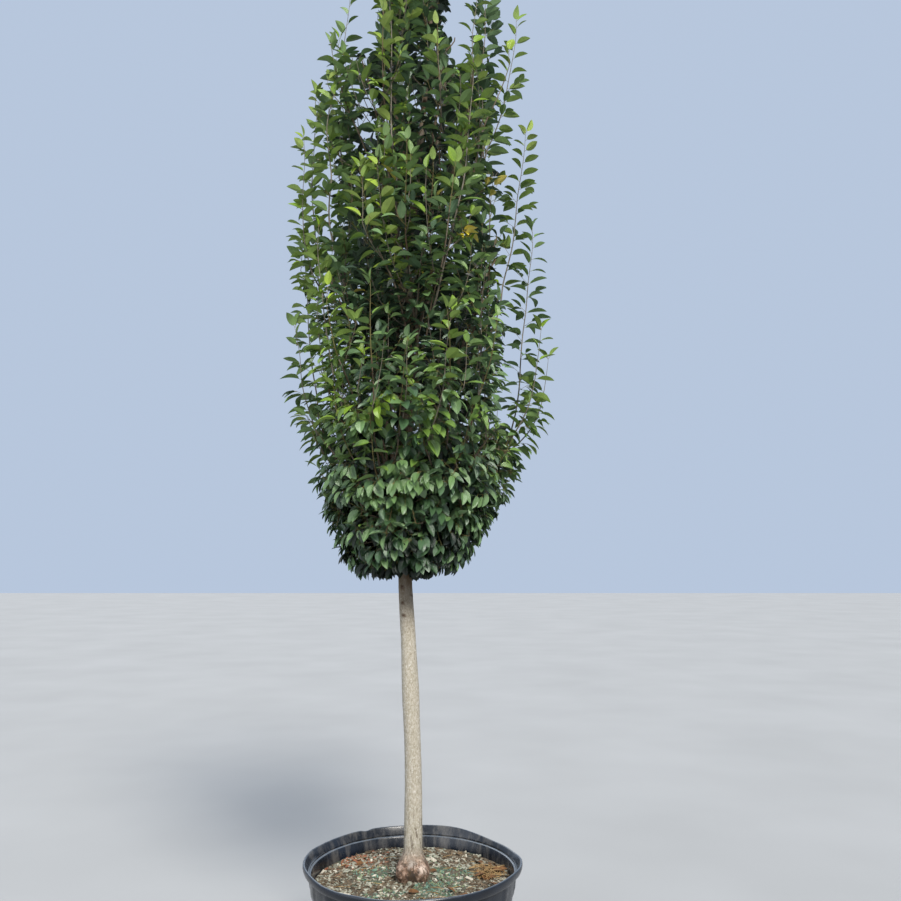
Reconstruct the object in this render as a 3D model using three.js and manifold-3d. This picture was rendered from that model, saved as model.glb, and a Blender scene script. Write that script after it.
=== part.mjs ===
// A columnar hornbeam in a round nursery pot: one upright trunk with ascending boughs close round it,
// and a narrow egg-shaped crown of leafy shoots. Millimetres, +Z up, the origin in the middle of the
// pot's flat underside, and -Y towards whoever looks at the front of the tree.
import * as THREE from "three";
import { mergeVertices } from "three/addons/utils/BufferGeometryUtils.js";
import Module from "manifold-3d";

const wasm = await Module();
wasm.setup();

// Pot: the rim's outer width, the height, and the wall
const RIM_RADIUS = 405;
const POT_HEIGHT = 500;
const FOOT_RADIUS = 336;
const BODY_TOP_RADIUS = 386;
const WALL = 6;
const BAND_HEIGHTS = [105, 255, 390];
const BAND_STEP = 5;
const LIP_HEIGHT = 32;
const POT_SIDES = 28;
const GRIP_REACH = 8;
const GRIP_HALF_ANGLE = 0.4;
const DRAIN_HOLES = 8;
const DRAIN_RADIUS = 15;
const DRAIN_HEIGHT = 26;

// Potting mix: how far its top lies under the rim, and how much it is heaped round the trunk
const MIX_BELOW_RIM = 77;
const MIX_HEAP = 3;
const MIX_TOP = POT_HEIGHT - MIX_BELOW_RIM;
const CLEAR = 0.3;
const CORNER_GAP = 0.02;
const THINNEST_FACE = 0.006;

// Trunk: radii at the mix and at the tip, and the gentle lean that the upper stem has
const TRUNK_FOOT = MIX_TOP + MIX_HEAP + CLEAR;
const TRUNK_TIP = 4080;
const TRUNK_FOOT_RADIUS = 35;
const TRUNK_FORK_RADIUS = 27;
const TRUNK_TIP_RADIUS = 7;
const TRUNK_SIDES = 12;
const LEAN = -40;
const LEAN_FROM = 700;
const LEAN_TO = 1750;
const SWING_FROM = 2500;
const SWING_BACK = 100;
const ROOT_KNOB_HEIGHT = 78;
const ROOT_KNOBS = [
  { azimuth: -0.88, reach: 34, width: 0.56 },
  { azimuth: -2.28, reach: 32, width: 0.58 },
  { azimuth: 0.05, reach: 17, width: 0.5 },
  { azimuth: 3.1, reach: 15, width: 0.5 },
  { azimuth: 1.5, reach: 8, width: 0.6 },
];

// Leafy crown: its half width and the shift of its middle to the right, at heights from the lowest leaves
// to the top. It is widest low down, and drawn out to a narrow top.
const CROWN_OUTLINE = [
  { height: 1455, half: 90, shift: -40 },
  { height: 1530, half: 230, shift: -38 },
  { height: 1640, half: 335, shift: -20 },
  { height: 1800, half: 438, shift: 4 },
  { height: 2060, half: 525, shift: 4 },
  { height: 2340, half: 575, shift: 38 },
  { height: 2660, half: 545, shift: 8 },
  { height: 3080, half: 512, shift: -12 },
  { height: 3480, half: 468, shift: 5 },
  { height: 3860, half: 405, shift: 52 },
  { height: 4150, half: 318, shift: 66 },
  { height: 4430, half: 200, shift: 60 },
  { height: 4640, half: 115, shift: 50 },
  { height: 4780, half: 62, shift: 46 },
];
const CROWN_BASE = CROWN_OUTLINE[0].height;
const CROWN_TOP = CROWN_OUTLINE[CROWN_OUTLINE.length - 1].height;

// The crown is shared out in tiers. Height less RISE times the distance from the axis tells the tiers
// apart, so that each tier climbs outwards like the boughs in it. The line under a tier rises and falls
// by its wave, BORDER_WAVES times round the crown.
const RISE = 1.35;
const BORDER_WAVES = 3;
const TIERS = [
  { name: "low", masses: 5, from: 1200, wave: 0, turn: 0.3, bough: 12, hang: 1 },
  { name: "mid", masses: 5, from: 1940, wave: 60, turn: 0.9, bough: 11, hang: 0 },
  { name: "high", masses: 5, from: 2540, wave: 60, turn: 0.3, bough: 9.5, hang: 0 },
  { name: "upper", masses: 4, from: 3160, wave: 40, turn: 0.75, bough: 8, hang: 0 },
];
const TOP_TIER = { from: 3800, wave: 0 };
const SPACE_MARGIN = 5;

// Boughs: how far under their mass they leave the trunk, and where they reach it
const BOUGH_DROP = 80;
const LOWEST_BOUGH = 30;
const BOUGH_STEP = 22;
const BOUGH_END_DISTANCE = 125;
const BOUGH_END_RISE = 120;
const SHORTEST_RISE = 150;
const STEM_CLIMB = 330;
const BOUGH_TAPER = 0.7;
const BOUGH_SIDES = 4;

// Twigs and leaves: a leaf here stands for a small spray, and keeps between these sizes
const STEM_TIP_RADIUS = 6;
const TWIG_ROOT_RADIUS = 4.2;
const TWIG_TIP_RADIUS = 4;
const TWIG_SPACING = 60;
const LEAF_LENGTH = 230;
const LEAF_ASPECT = 0.74;
const LEAF_THICKNESS = 6;
const LEAF_WIDEST = 0.42;
const LEAF_DROOP = 0.09;
const LEAF_ROOT = 1;
const LEAF_SPACING = 42;
const SMALLEST_LEAF = 0.66;
const SMALLEST_TOP_LEAF = 0.42;
const LEAF_ROOM = 82;
const STEM_LEAVES = 12;
const GOLDEN_ANGLE = Math.PI * (3 - Math.sqrt(5));

const UP = new THREE.Vector3(0, 0, 1);
const v3 = (x, y, z) => new THREE.Vector3(x, y, z);
const polar = (azimuth, distance, z) =>
  v3(distance * Math.cos(azimuth), distance * Math.sin(azimuth), z);
const clamp01 = (t) => Math.min(1, Math.max(0, t));
const smooth = (t) => clamp01(t) ** 2 * (3 - 2 * clamp01(t));

// The same numbers on every run, for a given seed
function seeded(seed) {
  let state = seed >>> 0;
  return (low, high) => {
    state = (state + 0x6d2b79f5) >>> 0;
    let t = state;
    t = Math.imul(t ^ (t >>> 15), t | 1);
    t ^= t + Math.imul(t ^ (t >>> 7), t | 61);
    return low + ((high - low) * ((t ^ (t >>> 14)) >>> 0)) / 4294967296;
  };
}

// Solids and meshes

function toSolid(geometry) {
  const bare = geometry.clone();
  for (const name of Object.keys(bare.attributes)) {
    if (name !== "position") bare.deleteAttribute(name);
  }
  const merged = mergeVertices(bare, 1e-3);
  return new wasm.Manifold(
    new wasm.Mesh({
      numProp: 3,
      vertProperties: merged.attributes.position.array,
      triVerts: new Uint32Array(merged.index.array),
    }),
  );
}

function toGeometry(solid) {
  const mesh = solid.getMesh();
  const positions = new Float32Array(mesh.numVert * 3);
  for (let i = 0; i < mesh.numVert; i++) {
    positions.set(mesh.vertProperties.subarray(i * mesh.numProp, i * mesh.numProp + 3), i * 3);
  }
  const geometry = new THREE.BufferGeometry();
  geometry.setAttribute("position", new THREE.BufferAttribute(positions, 3));
  geometry.setIndex(new THREE.BufferAttribute(mesh.triVerts, 1));
  geometry.computeVertexNormals();
  return geometry;
}

// The largest body of a solid: a scrap that hangs on nothing is dropped
function largestBody(solid) {
  return solid.decompose().reduce((best, body) => (body.volume() > best.volume() ? body : best));
}

// Whether no face of a solid is thinner than a hair and no two corners are nearly one, so that the
// solid stays closed when its corners are rounded
function crisp(solid) {
  const { vertProperties, numProp, numVert, triVerts } = solid.getMesh();
  const at = (i) => new THREE.Vector3().fromArray(vertProperties, i * numProp);
  const corners = Array.from({ length: numVert }, (_, i) => at(i));
  for (let i = 0; i < triVerts.length; i += 3) {
    const [a, b, c] = [0, 1, 2].map((k) => corners[triVerts[i + k]]);
    const longest = Math.max(a.distanceTo(b), b.distanceTo(c), c.distanceTo(a));
    if (2 * new THREE.Triangle(a, b, c).getArea() < THINNEST_FACE * longest) return false;
  }
  corners.sort((a, b) => a.x - b.x);
  return corners.every((corner, i) => {
    for (let j = i + 1; j < numVert && corners[j].x - corner.x < CORNER_GAP; j++) {
      if (corners[j].distanceTo(corner) < CORNER_GAP) return false;
    }
    return true;
  });
}

// Pieces are joined one after another. A piece that would leave a splinter, a hollow or a loose scrap
// is nudged a little, and left out if that doesn't help.
const NUDGES = [0, 0.4, -0.4, 0.8, -0.8, 1.2, -1.2];

function fuse(geometries) {
  let sum = toSolid(geometries[0]);
  for (const geometry of geometries.slice(1)) {
    for (const nudge of NUDGES) {
      const piece = geometry.clone().translate(nudge, 0.7 * nudge, 1.3 * nudge);
      const joined = sum.add(toSolid(piece)).simplify(CORNER_GAP);
      if (!crisp(joined)) continue;
      const rounded = toSolid(toGeometry(joined));
      if (rounded.numVert() !== joined.numVert() || rounded.decompose().length > 1) continue;
      sum = joined;
      break;
    }
  }
  return sum;
}

// A tapering limb with flat ends: rings of the given radii round a line of points. A ring's radius may
// also depend on the angle round the limb.
function limbGeometry(points, radiusAt, sides) {
  const positions = [];
  const index = [];
  let across = Math.abs(points[1].clone().sub(points[0]).normalize().x) > 0.9 ? v3(0, 1, 0) : v3(1, 0, 0);
  points.forEach((point, ring) => {
    const before = points[Math.max(0, ring - 1)];
    const after = points[Math.min(points.length - 1, ring + 1)];
    const along = after.clone().sub(before).normalize();
    across = across.clone().addScaledVector(along, -across.dot(along)).normalize();
    const beside = along.clone().cross(across);
    for (let side = 0; side < sides; side++) {
      const angle = (2 * Math.PI * side) / sides;
      const radius = radiusAt(ring, angle);
      const corner = point
        .clone()
        .addScaledVector(across, radius * Math.cos(angle))
        .addScaledVector(beside, radius * Math.sin(angle));
      positions.push(corner.x, corner.y, corner.z);
    }
  });
  for (let ring = 0; ring < points.length - 1; ring++) {
    for (let side = 0; side < sides; side++) {
      const next = (side + 1) % sides;
      const [a, b] = [ring * sides + side, ring * sides + next];
      const [c, d] = [a + sides, b + sides];
      index.push(a, b, d, a, d, c);
    }
  }
  const lastRing = (points.length - 1) * sides;
  for (let side = 1; side < sides - 1; side++) {
    index.push(0, side + 1, side, lastRing, lastRing + side, lastRing + side + 1);
  }
  const geometry = new THREE.BufferGeometry();
  geometry.setAttribute("position", new THREE.Float32BufferAttribute(positions, 3));
  geometry.setIndex(index);
  return geometry;
}

const taperedLimb = (points, fromRadius, toRadius, sides) =>
  limbGeometry(
    points,
    (ring) => THREE.MathUtils.lerp(fromRadius, toRadius, ring / (points.length - 1)),
    sides,
  );

// A closed profile of [radius, height] pairs turned round the Z axis
function turned(profile) {
  const lathe = new THREE.LatheGeometry(
    profile.map(([radius, height]) => new THREE.Vector2(radius, height)),
    POT_SIDES,
  );
  return lathe.rotateX(Math.PI / 2);
}

// Pot and potting mix

const bodyRadiusAt = (height) =>
  THREE.MathUtils.lerp(FOOT_RADIUS, BODY_TOP_RADIUS, height / POT_HEIGHT);

// The wall is stepped: each band stands a little proud of the one below it
function potProfile() {
  const lipFoot = POT_HEIGHT - LIP_HEIGHT;
  const outside = [
    [0, 0],
    [FOOT_RADIUS - 8, 0],
    [FOOT_RADIUS, 10],
  ];
  for (const step of BAND_HEIGHTS) {
    outside.push([bodyRadiusAt(step) - BAND_STEP / 2, step]);
    outside.push([bodyRadiusAt(step) + BAND_STEP / 2, step + BAND_STEP]);
  }
  return [
    ...outside,
    [BODY_TOP_RADIUS, lipFoot],
    [RIM_RADIUS, lipFoot + 3],
    [RIM_RADIUS, POT_HEIGHT - 6],
    [RIM_RADIUS - 6, POT_HEIGHT],
    [BODY_TOP_RADIUS + 2, POT_HEIGHT],
    [innerRadiusAt(POT_HEIGHT - 12), POT_HEIGHT - 12],
    [innerRadiusAt(WALL), WALL],
    [0, WALL],
  ];
}

function innerRadiusAt(height) {
  return bodyRadiusAt(height) - WALL - BAND_STEP / 2;
}

// The rim reaches out a little further at two opposite hand grips
function addGrips(geometry) {
  const position = geometry.attributes.position;
  for (let i = 0; i < position.count; i++) {
    const [x, y, z] = [position.getX(i), position.getY(i), position.getZ(i)];
    const distance = Math.hypot(x, y);
    if (distance < BODY_TOP_RADIUS + 1 || z < POT_HEIGHT - LIP_HEIGHT + 1) continue;
    const offGrip = Math.asin(Math.min(1, Math.abs(y) / distance));
    const reach = GRIP_REACH * smooth((GRIP_HALF_ANGLE - offGrip) / (GRIP_HALF_ANGLE / 2));
    position.setXY(i, (x * (distance + reach)) / distance, (y * (distance + reach)) / distance);
  }
  return geometry;
}

function potSolid() {
  let pot = toSolid(addGrips(turned(potProfile())));
  for (let hole = 0; hole < DRAIN_HOLES; hole++) {
    const azimuth = ((hole + 0.5) * 2 * Math.PI) / DRAIN_HOLES;
    const drill = new THREE.CylinderGeometry(DRAIN_RADIUS, DRAIN_RADIUS, 60, 8)
      .rotateZ(Math.PI / 2)
      .translate(FOOT_RADIUS, 0, DRAIN_HEIGHT)
      .rotateZ(azimuth);
    pot = pot.subtract(toSolid(drill));
  }
  return pot;
}

// The mix fills the pot, and is heaped a little round the trunk, where its top is flat
function mixSolid() {
  return toSolid(
    turned([
      [0, WALL + CLEAR],
      [innerRadiusAt(WALL) - 2 * CLEAR, WALL + CLEAR],
      [innerRadiusAt(MIX_TOP) - 2 * CLEAR, MIX_TOP],
      [innerRadiusAt(MIX_TOP) * 0.6, MIX_TOP + 1],
      [90, MIX_TOP + MIX_HEAP],
      [0, MIX_TOP + MIX_HEAP],
    ]),
  );
}

// Trunk

// It leans to the left as it nears the crown, and swings back over the pot in its upper half
function trunkAxis(z) {
  const leaned = LEAN * smooth((z - LEAN_FROM) / (LEAN_TO - LEAN_FROM));
  const swung = SWING_BACK * smooth((z - SWING_FROM) / (TRUNK_TIP - SWING_FROM));
  return v3(leaned + swung, 0, z);
}

function trunkRadius(z) {
  if (z < CROWN_BASE) {
    return THREE.MathUtils.mapLinear(z, TRUNK_FOOT, CROWN_BASE, TRUNK_FOOT_RADIUS, TRUNK_FORK_RADIUS);
  }
  return THREE.MathUtils.mapLinear(z, CROWN_BASE, TRUNK_TIP, TRUNK_FORK_RADIUS, TRUNK_TIP_RADIUS);
}

// The root crown swells into rounded knobs just over the mix
function rootKnob(height, azimuth) {
  const swell = 1 - smooth((height - ROOT_KNOB_HEIGHT * 0.35) / ROOT_KNOB_HEIGHT);
  const undercut = 0.72 + 0.28 * smooth(height / (ROOT_KNOB_HEIGHT * 0.4));
  const knobs = ROOT_KNOBS.map(({ azimuth: at, reach, width }) => {
    const off = Math.atan2(Math.sin(azimuth - at), Math.cos(azimuth - at));
    return reach * Math.exp(-((off / width) ** 2));
  });
  return swell * undercut * (9 + knobs.reduce((sum, knob) => sum + knob, 0));
}

// Heights of the rings over the mix, close together round the root crown
const TRUNK_RINGS = [0, 18, 36, 54, 76, 110];
const STEM_RINGS = 12;
for (let ring = 1; ring <= STEM_RINGS; ring++) {
  TRUNK_RINGS.push(110 + ((TRUNK_TIP - TRUNK_FOOT - 110) * ring) / STEM_RINGS);
}
const trunkLine = TRUNK_RINGS.map((height) => trunkAxis(TRUNK_FOOT + height));

function trunkSolid(allowance) {
  const radiusAt = (ring, azimuth) =>
    trunkRadius(trunkLine[ring].z) + rootKnob(TRUNK_RINGS[ring], azimuth) + allowance;
  return toSolid(limbGeometry(trunkLine, radiusAt, TRUNK_SIDES));
}

// Outline of the crown, and the space of each mass

function crownAt(z) {
  const above = CROWN_OUTLINE.findIndex((row) => row.height > z);
  if (above < 1) return { half: 0, shift: 0 };
  const [low, high] = [CROWN_OUTLINE[above - 1], CROWN_OUTLINE[above]];
  const t = (z - low.height) / (high.height - low.height);
  return {
    half: THREE.MathUtils.lerp(low.half, high.half, t),
    shift: THREE.MathUtils.lerp(low.shift, high.shift, t),
  };
}

// How far the crown reaches from the Z axis at a height, towards an azimuth
function crownRadius(z, azimuth) {
  const { half, shift } = crownAt(z);
  return Math.max(0, half + shift * Math.cos(azimuth));
}

const tierLevel = (point) => point.z - RISE * Math.hypot(point.x, point.y);

// The level of the line under a tier, towards an azimuth
const borderAt = (tier, azimuth) => tier.from + tier.wave * Math.cos(BORDER_WAVES * azimuth);

function spacesOfCrown() {
  const spaces = [];
  TIERS.forEach((tier, t) => {
    const above = TIERS[t + 1] ?? TOP_TIER;
    for (let i = 0; i < tier.masses; i++) {
      spaces.push({
        name: `${tier.name}_${i + 1}`,
        azimuth: tier.turn + (2 * Math.PI * i) / tier.masses,
        halfAngle: Math.PI / tier.masses,
        from: (azimuth) => borderAt(tier, azimuth),
        to: (azimuth) => borderAt(above, azimuth),
        boughRadius: tier.bough,
        hang: tier.hang,
        smallest: SMALLEST_LEAF,
        seed: 100 * (t + 1) + i,
      });
    }
  });
  return spaces;
}

const topSpace = {
  name: "top",
  azimuth: 0,
  halfAngle: Math.PI,
  from: (azimuth) => borderAt(TOP_TIER, azimuth),
  to: () => Infinity,
  hang: 0,
  smallest: SMALLEST_TOP_LEAF,
  seed: 900,
};

function inSpace(space, point, margin) {
  const distance = Math.hypot(point.x, point.y);
  const azimuth = Math.atan2(point.y, point.x);
  if (distance > crownRadius(point.z, azimuth)) return false;
  const level = tierLevel(point);
  if (level < space.from(azimuth) + margin || level > space.to(azimuth) - margin) return false;
  if (space.halfAngle >= Math.PI) return true;
  const turn = azimuth - space.azimuth;
  const off = Math.abs(Math.atan2(Math.sin(turn), Math.cos(turn)));
  return off < Math.PI / 2 && distance * Math.sin(space.halfAngle - off) > margin;
}

// Boughs

function quadratic(from, bend, to, steps) {
  return new THREE.QuadraticBezierCurve3(from, bend, to).getPoints(steps);
}

function boughLine(space) {
  const lowest = CROWN_BASE + LOWEST_BOUGH + (space.seed % 10) * BOUGH_STEP;
  const from = space.from(space.azimuth);
  const root = trunkAxis(Math.max(from - BOUGH_DROP, lowest));
  const end = polar(
    space.azimuth,
    BOUGH_END_DISTANCE,
    Math.max(root.z + SHORTEST_RISE, from + BOUGH_END_RISE + RISE * BOUGH_END_DISTANCE),
  );
  const bend = root.clone().lerp(end, 0.6);
  bend.z = THREE.MathUtils.lerp(root.z, end.z, 0.36);
  return quadratic(root, bend, end, 4);
}

function boughSolid(line, space, trunkCutter) {
  const solid = toSolid(
    taperedLimb(line, space.boughRadius, space.boughRadius * BOUGH_TAPER, BOUGH_SIDES),
  );
  return largestBody(solid.subtract(trunkCutter));
}

// Foliage

// A stem goes straight on from the flat end of its limb, with a hair's gap, and bends after that
function stemFrom(limb, tip, reach, steps) {
  const heading = limb.at(-1).clone().sub(limb.at(-2)).normalize();
  const start = limb.at(-1).clone().addScaledVector(heading, CLEAR);
  const bendStart = start.clone().addScaledVector(heading, 20);
  const bend = start.clone().addScaledVector(heading, start.distanceTo(tip) * reach);
  return [start, ...quadratic(bendStart, bend, tip, steps)];
}

// It climbs outwards to the edge of the crown
function stemLine(space) {
  const tipZ = space.to(space.azimuth) + STEM_CLIMB;
  const tip = polar(space.azimuth, crownRadius(tipZ, space.azimuth) * 0.8, tipZ);
  return stemFrom(space.line, tip, 0.45, 5);
}

function topStemLine() {
  const tip = v3(crownAt(CROWN_TOP - 80).shift, -4, CROWN_TOP - 80);
  return stemFrom(trunkLine, tip, 0.5, 4);
}

// The clear distance of a point to a limb that is a line of points with tapering radii
function clearance(point, limb) {
  let nearest = Infinity;
  for (let i = 0; i < limb.points.length - 1; i++) {
    const segment = new THREE.Line3(limb.points[i], limb.points[i + 1]);
    const closest = segment.closestPointToPoint(point, true, v3(0, 0, 0));
    nearest = Math.min(nearest, closest.distanceTo(point) - limb.radius);
  }
  return nearest;
}

// A leaf is a thin blade folded along its middle, with a pointed root and a pointed tip that hangs a
// little. Its underside runs straight across from edge to edge.
function leafCorners(root, along, face, scale) {
  const side = along.clone().cross(face).normalize();
  const flat = side.clone().cross(along).normalize();
  const length = LEAF_LENGTH * scale;
  const halfWidth = (length * LEAF_ASPECT) / 2;
  const at = (a, s, f) =>
    root
      .clone()
      .addScaledVector(along, a)
      .addScaledVector(side, s)
      .addScaledVector(flat, f);
  const widest = length * LEAF_WIDEST;
  const edge = -widest * LEAF_DROOP - LEAF_THICKNESS;
  return [
    at(-LEAF_ROOT, 0, 0),
    at(widest, halfWidth, edge),
    at(length, 0, -length * LEAF_DROOP),
    at(widest, -halfWidth, edge),
  ];
}

const LEAF_FACES = [0, 1, 2, 0, 2, 3, 1, 0, 3, 2, 1, 3];

function leafGeometry(corners) {
  const geometry = new THREE.BufferGeometry();
  geometry.setAttribute(
    "position",
    new THREE.Float32BufferAttribute(
      corners.flatMap((corner) => corner.toArray()),
      3,
    ),
  );
  geometry.setIndex(LEAF_FACES);
  return geometry;
}

// Points over a leaf, to see that it keeps to its space and clear of the limbs
function leafSamples(corners) {
  const [root, left, tip, right] = corners;
  const upper = root.clone().lerp(tip, 0.5);
  const samples = [left, tip, right, upper];
  for (const [a, b] of [
    [root, left],
    [root, right],
    [left, tip],
    [right, tip],
    [left, right],
    [left, upper],
    [right, upper],
    [tip, upper],
    [root, upper],
  ]) {
    for (const part of [0.25, 0.5, 0.75]) samples.push(a.clone().lerp(b, part));
  }
  return samples;
}

function fits(samples, space, limbs, room) {
  return samples.every(
    (sample) =>
      inSpace(space, sample, SPACE_MARGIN) && limbs.every((limb) => clearance(sample, limb) > room),
  );
}

// What a leaf or a twig is as seen by the others: the lines that may not run through another leaf,
// and the two halves of the blade
const lineOf = (from, to) => ({ edges: [new THREE.Line3(from, to)], halves: [], middle: null });

function bladeOf([root, left, tip, right]) {
  return {
    edges: [[root, left], [left, tip], [tip, right], [right, root], [root, tip]].map(
      ([a, b]) => new THREE.Line3(a, b),
    ),
    halves: [
      [root, left, tip],
      [root, tip, right],
    ],
    middle: left.clone().lerp(right, 0.5),
  };
}

function pierces(edge, [a, b, c]) {
  const heading = edge.delta(v3(0, 0, 0));
  const length = heading.length();
  const ray = new THREE.Ray(edge.start, heading.divideScalar(length));
  const hit = ray.intersectTriangle(a, b, c, false, v3(0, 0, 0));
  return hit !== null && hit.distanceTo(edge.start) < length;
}

const crosses = (one, other) =>
  one.edges.some((edge) => other.halves.some((half) => pierces(edge, half))) ||
  other.edges.some((edge) => one.halves.some((half) => pierces(edge, half)));

const crowds = (one, other) =>
  other.middle !== null && one.middle.distanceTo(other.middle) < LEAF_ROOM;

// Where the line of a twig leaves its space, measured along it
function reachInSpace(from, heading, space) {
  const step = 10;
  let reach = 0;
  while (inSpace(space, from.clone().addScaledVector(heading, reach + step), SPACE_MARGIN)) {
    reach += step;
  }
  return reach;
}

// A blade turns its upper face partly to the sky, partly outwards and partly to either side, so that
// the leaves cover the crown like shingles from wherever it is seen
function leafFace(point, random) {
  const outward = v3(point.x, point.y, 0).normalize();
  const sideways = v3(-outward.y, outward.x, 0);
  return outward
    .multiplyScalar(random(0.1, 0.9))
    .addScaledVector(sideways, random(-0.8, 0.8))
    .addScaledVector(UP, random(0.2, 0.7))
    .normalize();
}

// The ways in which a leaf may leave its twig, the likeliest first: how far it turns to its own side,
// and how far it hangs
const LEAF_WAYS = [
  { turn: 0.9, hang: 0.35 },
  { turn: 0.55, hang: 0.75 },
  { turn: 1.25, hang: 0.1 },
  { turn: 0.35, hang: -0.25 },
  { turn: 1.5, hang: 0.9 },
];

// The largest leaf that fits at a point of a twig
function leafAt(root, heading, hand, space, limbs, placed, random) {
  let best = null;
  for (const { turn, hang } of LEAF_WAYS) {
    const face = leafFace(root, random);
    const side = heading.clone().cross(face).normalize();
    const along = heading
      .clone()
      .multiplyScalar(Math.cos(turn * hand))
      .addScaledVector(side, Math.sin(turn * hand))
      .addScaledVector(UP, -hang)
      .normalize();
    const room = reachInSpace(root, along, space) / LEAF_LENGTH;
    for (const part of [1, 0.85, 0.7]) {
      const scale = Math.min(1, room) * part;
      if (scale < space.smallest || (best && scale <= best.scale + 0.05)) break;
      const corners = leafCorners(root, along, face, scale);
      if (!fits(leafSamples(corners), space, limbs, 14)) continue;
      const blade = bladeOf(corners);
      if (placed.some((other) => crowds(blade, other) || crosses(blade, other))) continue;
      best = { scale, corners, blade };
    }
  }
  if (best === null) return [];
  placed.push(best.blade);
  return [leafGeometry(best.corners)];
}

// Leaves sit alternately on the two sides of a twig, and one goes on from its tip
function leavesOnTwig([from, to], space, limbs, placed, random) {
  const heading = to.clone().sub(from).normalize();
  const count = Math.round(from.distanceTo(to) / LEAF_SPACING);
  const tip = to.clone().addScaledVector(heading, -3);
  const leaves = leafAt(tip, heading, 0.15, space, limbs, placed, random);
  for (let i = 0; i < count; i++) {
    const root = from.clone().lerp(to, (i + 0.8) / (count + 0.5));
    leaves.push(...leafAt(root, heading, i % 2 ? 1 : -1, space, limbs, placed, random));
  }
  return leaves;
}

// Twigs leave the stem one after another at the golden angle, and reach for the edge of the space
function massSolid(space, stem, stemRadius, limbs) {
  const random = seeded(space.seed);
  const curve = new THREE.CatmullRomCurve3(stem);
  const made = [taperedLimb(stem, stemRadius, STEM_TIP_RADIUS, 4)];
  const placed = [lineOf(stem[0], stem.at(-1))];
  const twigs = Math.round(curve.getLength() / TWIG_SPACING);
  for (let k = 0; k < twigs; k++) {
    const t = (k + 0.6) / twigs;
    const from = curve.getPointAt(t);
    const along = curve.getTangentAt(t);
    const u = along.clone().cross(v3(0.3, 1, 0.1)).normalize();
    const w = along.clone().cross(u);
    const turn = k * GOLDEN_ANGLE + space.seed;
    const climb = 0.25 + 0.55 * t - 0.9 * space.hang * (1 - t) + random(-0.15, 0.15);
    const heading = u
      .multiplyScalar(Math.cos(turn))
      .addScaledVector(w, Math.sin(turn))
      .addScaledVector(along, climb)
      .normalize();
    const reach = reachInSpace(from, heading, space) * random(0.5, 0.7);
    if (reach < 40) continue;
    const to = from.clone().addScaledVector(heading, reach);
    const samples = [0.35, 0.6, 0.8, 1].map((s) => from.clone().lerp(to, s));
    if (!fits(samples, space, limbs, TWIG_ROOT_RADIUS + 3)) continue;
    const leaves = leavesOnTwig([from, to], space, limbs, placed, random);
    if (leaves.length === 0) continue;
    placed.push(lineOf(from, to));
    made.push(taperedLimb([from, to], TWIG_ROOT_RADIUS, TWIG_TIP_RADIUS, 3), ...leaves);
  }
  made.push(...leavesOnTwig([stem.at(-3), stem.at(-1)], space, limbs, placed, random));
  for (let k = 0; k < STEM_LEAVES; k++) {
    const t = 0.08 + (0.84 * k) / STEM_LEAVES;
    const root = curve.getPointAt(t);
    const heading = curve.getTangentAt(t);
    made.push(...leafAt(root, heading, k % 2 ? 1 : -1, space, limbs, placed, random));
  }
  return fuse(made);
}

// Assembly

const colours = {
  pot: new THREE.MeshStandardMaterial({ color: 0x23262b, roughness: 0.55, metalness: 0 }),
  mix: new THREE.MeshStandardMaterial({ color: 0x4a3d30, roughness: 0.95, metalness: 0 }),
  bark: new THREE.MeshStandardMaterial({ color: 0x9a8d7c, roughness: 0.85, metalness: 0 }),
  foliage: new THREE.MeshStandardMaterial({ color: 0x2f4a22, roughness: 0.6, metalness: 0 }),
};

const tree = new THREE.Group();

function addNode(name, solid, material) {
  const mesh = new THREE.Mesh(toGeometry(solid), material);
  mesh.name = name;
  tree.add(mesh);
}

addNode("pot", potSolid(), colours.pot);
addNode("potting_mix", mixSolid(), colours.mix);
addNode("trunk", trunkSolid(0), colours.bark);
const trunkCutter = trunkSolid(CLEAR);

const spaces = spacesOfCrown();
const limbs = [{ points: trunkLine, radius: TRUNK_FORK_RADIUS }];
for (const space of spaces) {
  space.line = boughLine(space);
  limbs.push({ points: space.line, radius: space.boughRadius });
}
for (const space of spaces) {
  addNode(`bough_${space.name}`, boughSolid(space.line, space, trunkCutter), colours.bark);
}
for (const space of spaces) {
  const solid = massSolid(space, stemLine(space), space.boughRadius * BOUGH_TAPER, limbs);
  addNode(`foliage_${space.name}`, solid, colours.foliage);
}
addNode("foliage_top", massSolid(topSpace, topStemLine(), TRUNK_TIP_RADIUS, limbs), colours.foliage);

export default tree;
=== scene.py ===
"""A columnar hornbeam in a round nursery pot: bark with relief, grown twigs and single leaves stand
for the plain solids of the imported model. Metres, +Z up, the origin under the middle of the pot."""

import math

import bmesh
import bpy
import numpy as np
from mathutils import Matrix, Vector, noise


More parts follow.
